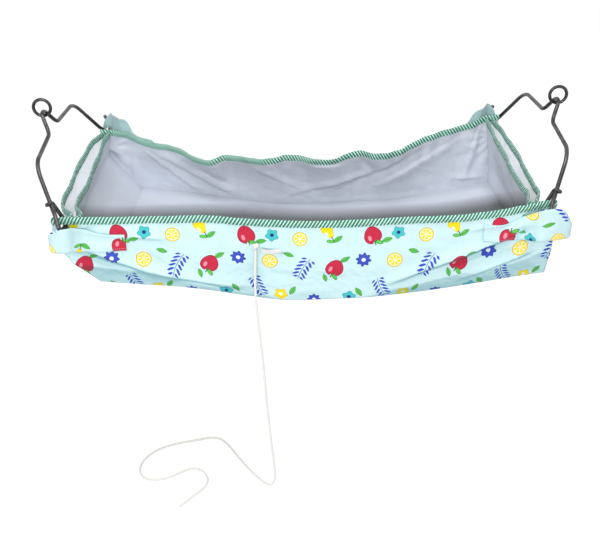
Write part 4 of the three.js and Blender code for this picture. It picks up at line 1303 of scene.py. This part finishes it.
def bent_line(corners):
    """A line with rounded corners; a corner is a place and its bend's radius."""
    points = [corners[0][0]]
    for (before, _), (at, bend), (after, _) in zip(corners, corners[1:], corners[2:]):
        back, ahead = unit(before - at), unit(after - at)
        half_angle = math.acos(np.clip(back.dot(ahead), -1, 1)) / 2
        centre = at + unit(back + ahead) * bend / math.sin(half_angle)
        start = at + back * bend / math.tan(half_angle) - centre
        sweep = (math.pi - 2 * half_angle) * -np.sign(back[0] * ahead[1] - back[1] * ahead[0])
        for angle in np.linspace(0, sweep, BEND_POINTS):
            cosine, sine = math.cos(angle), math.sin(angle)
            turned = np.array([start[0] * cosine - start[1] * sine, start[0] * sine + start[1] * cosine])
            points.append(centre + turned)
    points.append(corners[-1][0])
    return np.array(points)


def bail_line():
    leg = math.atan2(EYE_RISE - DIP[1], DIP[0] - EYE_HALF)
    eye_bend = EYE_HALF * math.tan((math.pi - leg) / 2)

    def corner(y, rise, bend=0.0):
        return np.array([y, rise]), bend

    def arch(side):
        bends = (((FOOT_OUT, 0), HOOK_BEND), (RIM_CROSS, CROSS_BEND), (SHOULDER, SHOULDER_BEND),
                 (DIP, DIP_BEND), ((EYE_HALF, EYE_RISE), eye_bend))
        return [corner(side * y, rise, bend) for (y, rise), bend in bends]

    corners = [corner(-FRONT_TIP[0], FRONT_TIP[1]), corner(-FRONT_RETURN[0], FRONT_RETURN[1], TIP_BEND),
               corner(-FRONT_RETURN[0], 0, HOOK_BEND)]
    corners += arch(-1) + arch(1)[::-1]
    corners += [corner(BACK_RETURN[0], 0, HOOK_BEND), corner(*BACK_RETURN)]
    return bent_line(corners)


def make_bails():
    flat = bail_line()
    for end, pivot in ((-1, left_pivot), (1, right_pivot)):
        lean = math.radians(BAIL_LEAN) * end
        rise = np.array([math.sin(lean), 0, math.cos(lean)])
        line = pivot + flat[:, :1] * np.array([0, 1, 0]) + flat[:, 1:] * rise
        line = spaced(line, round(length_of(line) / WIRE_STEP))
        count = len(line)
        along = np.arange(count) * WIRE_STEP
        tip = np.minimum(np.arange(count), count - 1 - np.arange(count))
        radii = WIRE_RADIUS * np.where(tip > 0, 1, WIRE_END_SHARE)[:, None] * np.ones((1, WIRE_SIDES))
        around = np.arange(WIRE_SIDES)[None] * 0.002
        radii = radii * (1 + 0.006 * soft_noise(along[:, None], around, 0.012, 15))
        piece = loft_piece(f"{ENDS[end]}_bail_rod", swept(line, (1, 0, 0), radii), STEEL)
        stand_in(piece, f"{ENDS[end]}_bail", f"{ENDS[end]}_bail")


def make_rings():
    radius = (RING_OUTSIDE - RING_WIRE) / 2
    for end in (-1, 1):
        low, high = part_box(f"{ENDS[end]}_ring")
        centre = np.array((low + high) / 2)
        angles = np.linspace(0, 2 * math.pi, RING_STATIONS + 1)[:-1]
        line = centre + radius * np.stack([np.cos(angles), 0 * angles, np.sin(angles)], axis=1)
        weld = 1
        for place, width, height in WELD:
            weld = weld + height * np.exp(-((angles - place) / width) ** 2)
        radii = RING_WIRE / 2 * weld[:, None] * np.ones((1, RING_SIDES))
        sections = swept(line, (0, 1, 0), radii, closed=True)
        piece = loft_piece(f"{ENDS[end]}_ring_wire", sections, RING_STEEL, closed=True)
        stand_in(piece, f"{ENDS[end]}_ring", f"{ENDS[end]}_ring")


make_bails()
make_rings()

# The cord's knot against the front panel, and the tape stitched beside it
KNOT_X, KNOT_SIZE, KNOT_WIRE_SHARE = -0.092, 0.013, 0.17
KNOT_STATIONS, KNOT_STRANDS, KNOT_TWIST, KNOT_RELIEF = 160, 5, 8, 0.06
TAPE_LENGTH, TAPE_HEIGHT, TAPE_DROP, TAPE_THICKNESS = 0.038, 0.010, 0.080, 0.001
TAPE_GAP, TAPE_WAVE, TAPE_LIFT = 0.003, 0.0015, 0.0016
TAPE_COLUMNS, TAPE_ROWS = 40, 12


def make_knot():
    low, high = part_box("cord_knot")
    centre = np.array((low + high) / 2)
    t = np.linspace(0, 2 * math.pi, KNOT_STATIONS + 1)[:-1]
    wire = KNOT_SIZE * KNOT_WIRE_SHARE
    size = (KNOT_SIZE / 2 - wire) / 3
    across, up = np.sin(t) + 2 * np.sin(2 * t), np.cos(t) - 2 * np.cos(2 * t)
    line = centre + np.stack([across, -1.3 * np.sin(3 * t), up], axis=1) * size
    angle = np.arange(CORD_SIDES) * 2 * math.pi / CORD_SIDES
    strands = np.cos(KNOT_STRANDS * (angle[None] + KNOT_TWIST * t[:, None]))
    radii = wire * (1 - KNOT_RELIEF * (1 - strands) / 2)
    knot = loft_piece("stopper_knot", swept(line, (0, 1, 0), radii, closed=True), CORD_COTTON, closed=True)
    stand_in(knot, "cord_knot", "sling")
    return knot


def make_tape():
    start = KNOT_X + KNOT_SIZE / 2 + TAPE_GAP
    xs = np.linspace(start, start + TAPE_LENGTH, TAPE_COLUMNS)[None]
    drop = np.linspace(TAPE_DROP, TAPE_DROP + TAPE_HEIGHT, TAPE_ROWS)[:, None]
    drop = drop + TAPE_WAVE * np.sin((xs - start) * 60)
    lift = TAPE_LIFT * hump((xs - start) / TAPE_LENGTH) * np.linspace(1, 0, TAPE_ROWS)[:, None]
    out = out_at(-1, xs, -drop) + STRAP_GAP + lift
    near = placed(xs, -out, -drop)
    far = placed(xs, -out - TAPE_THICKNESS, -drop)
    places = stacked(xs, drop)
    tape = sheet_piece("stitched_tape", far, near, places, [TAPE])
    stand_in(tape, "cord_tape", "sling")
    for label, column in (("near", 3), ("far", TAPE_COLUMNS - 4)):
        stitch_row(f"tape_{label}_stitches", far[:, column], [0, -1, 0], TAPE_STITCH)


TAPE = plain_cotton("tape_cotton", srgb(244, 242, 240), srgb(228, 226, 226), thread=0.0006)
knot = make_knot()
make_tape()
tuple(CORD_ROUTE[0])

# Floor, surroundings and lights
FLOOR_SIZE = 30
# The floor's share of light given back: to all rays, and to the camera, with its glow there
FLOOR_LIT_SHARE, FLOOR_CAMERA_SHARE, FLOOR_CAMERA_GLOW = 0.8, 0.36, 0.79
AMBIENT = 0.57


def seen_directly(tree):
    """One for rays from the camera, and those that metal and glass pass on."""
    path = tree.nodes.new("ShaderNodeLightPath")
    seen = Term(tree, path.outputs["Is Camera Ray"])
    for name in ("Is Glossy Ray", "Is Transmission Ray"):
        seen = seen.math("MAXIMUM", Term(tree, path.outputs[name]))
    return seen


def make_floor():
    low = min(point[2] for point in CORD_ROUTE) - CORD_DIAMETER / 2
    half = FLOOR_SIZE / 2
    corners = [(-half, -half, low), (half, -half, low), (half, half, low), (-half, half, low)]
    floor = make_piece("floor", corners, [(0, 1, 2, 3)])
    material = bpy.data.materials.new("pale_floor")
    material.use_nodes = True
    tree = material.node_tree
    tree.nodes.clear()
    lit, shown, glow, both, choice, output = (tree.nodes.new("ShaderNode" + kind) for kind in (
        "BsdfDiffuse", "BsdfDiffuse", "Emission", "AddShader", "MixShader", "OutputMaterial"))
    lit.inputs[0].default_value = (FLOOR_LIT_SHARE,) * 3 + (1,)
    shown.inputs[0].default_value = (FLOOR_CAMERA_SHARE,) * 3 + (1,)
    glow.inputs[1].default_value = FLOOR_CAMERA_GLOW
    for source, slot in (
        (shown.outputs[0], both.inputs[0]),
        (glow.outputs[0], both.inputs[1]),
        (seen_directly(tree).socket, choice.inputs[0]),
        (lit.outputs[0], choice.inputs[1]),
        (both.outputs[0], choice.inputs[2]),
        (choice.outputs[0], output.inputs[0]),
    ):
        tree.links.new(source, slot)
    floor.data.materials.append(material)


def make_world():
    world = bpy.data.worlds.new("surroundings")
    world.use_nodes = True
    tree = world.node_tree
    backdrop = next(n for n in tree.nodes if n.type == "BACKGROUND")
    backdrop.inputs[0].default_value = (1, 1, 1, 1)
    strength = seen_directly(tree) * (1 - AMBIENT) + AMBIENT
    tree.links.new(strength.socket, backdrop.inputs[1])
    bpy.context.scene.world = world


def area_light(name, place, target, size, power):
    data = bpy.data.lights.new(name, "AREA")
    data.shape = "RECTANGLE"
    data.size, data.size_y = size
    data.energy = power
    light = bpy.data.objects.new(name, data)
    light.location = place
    light.rotation_mode = "QUATERNION"
    light.rotation_quaternion = (Vector(target) - Vector(place)).to_track_quat("-Z", "Y")
    bpy.context.scene.collection.objects.link(light)


make_floor()
make_world()
LIT_PLACE = (0.516, 0, -0.2)
area_light("front_light", (0.05, -2.9, 1.02), LIT_PLACE, (1.5, 0.4), 42)
area_light("top_light", (0.3, -0.7, 2.4), LIT_PLACE, (1.6, 0.8), 24)

bpy.context.scene.view_settings.view_transform = "Standard"
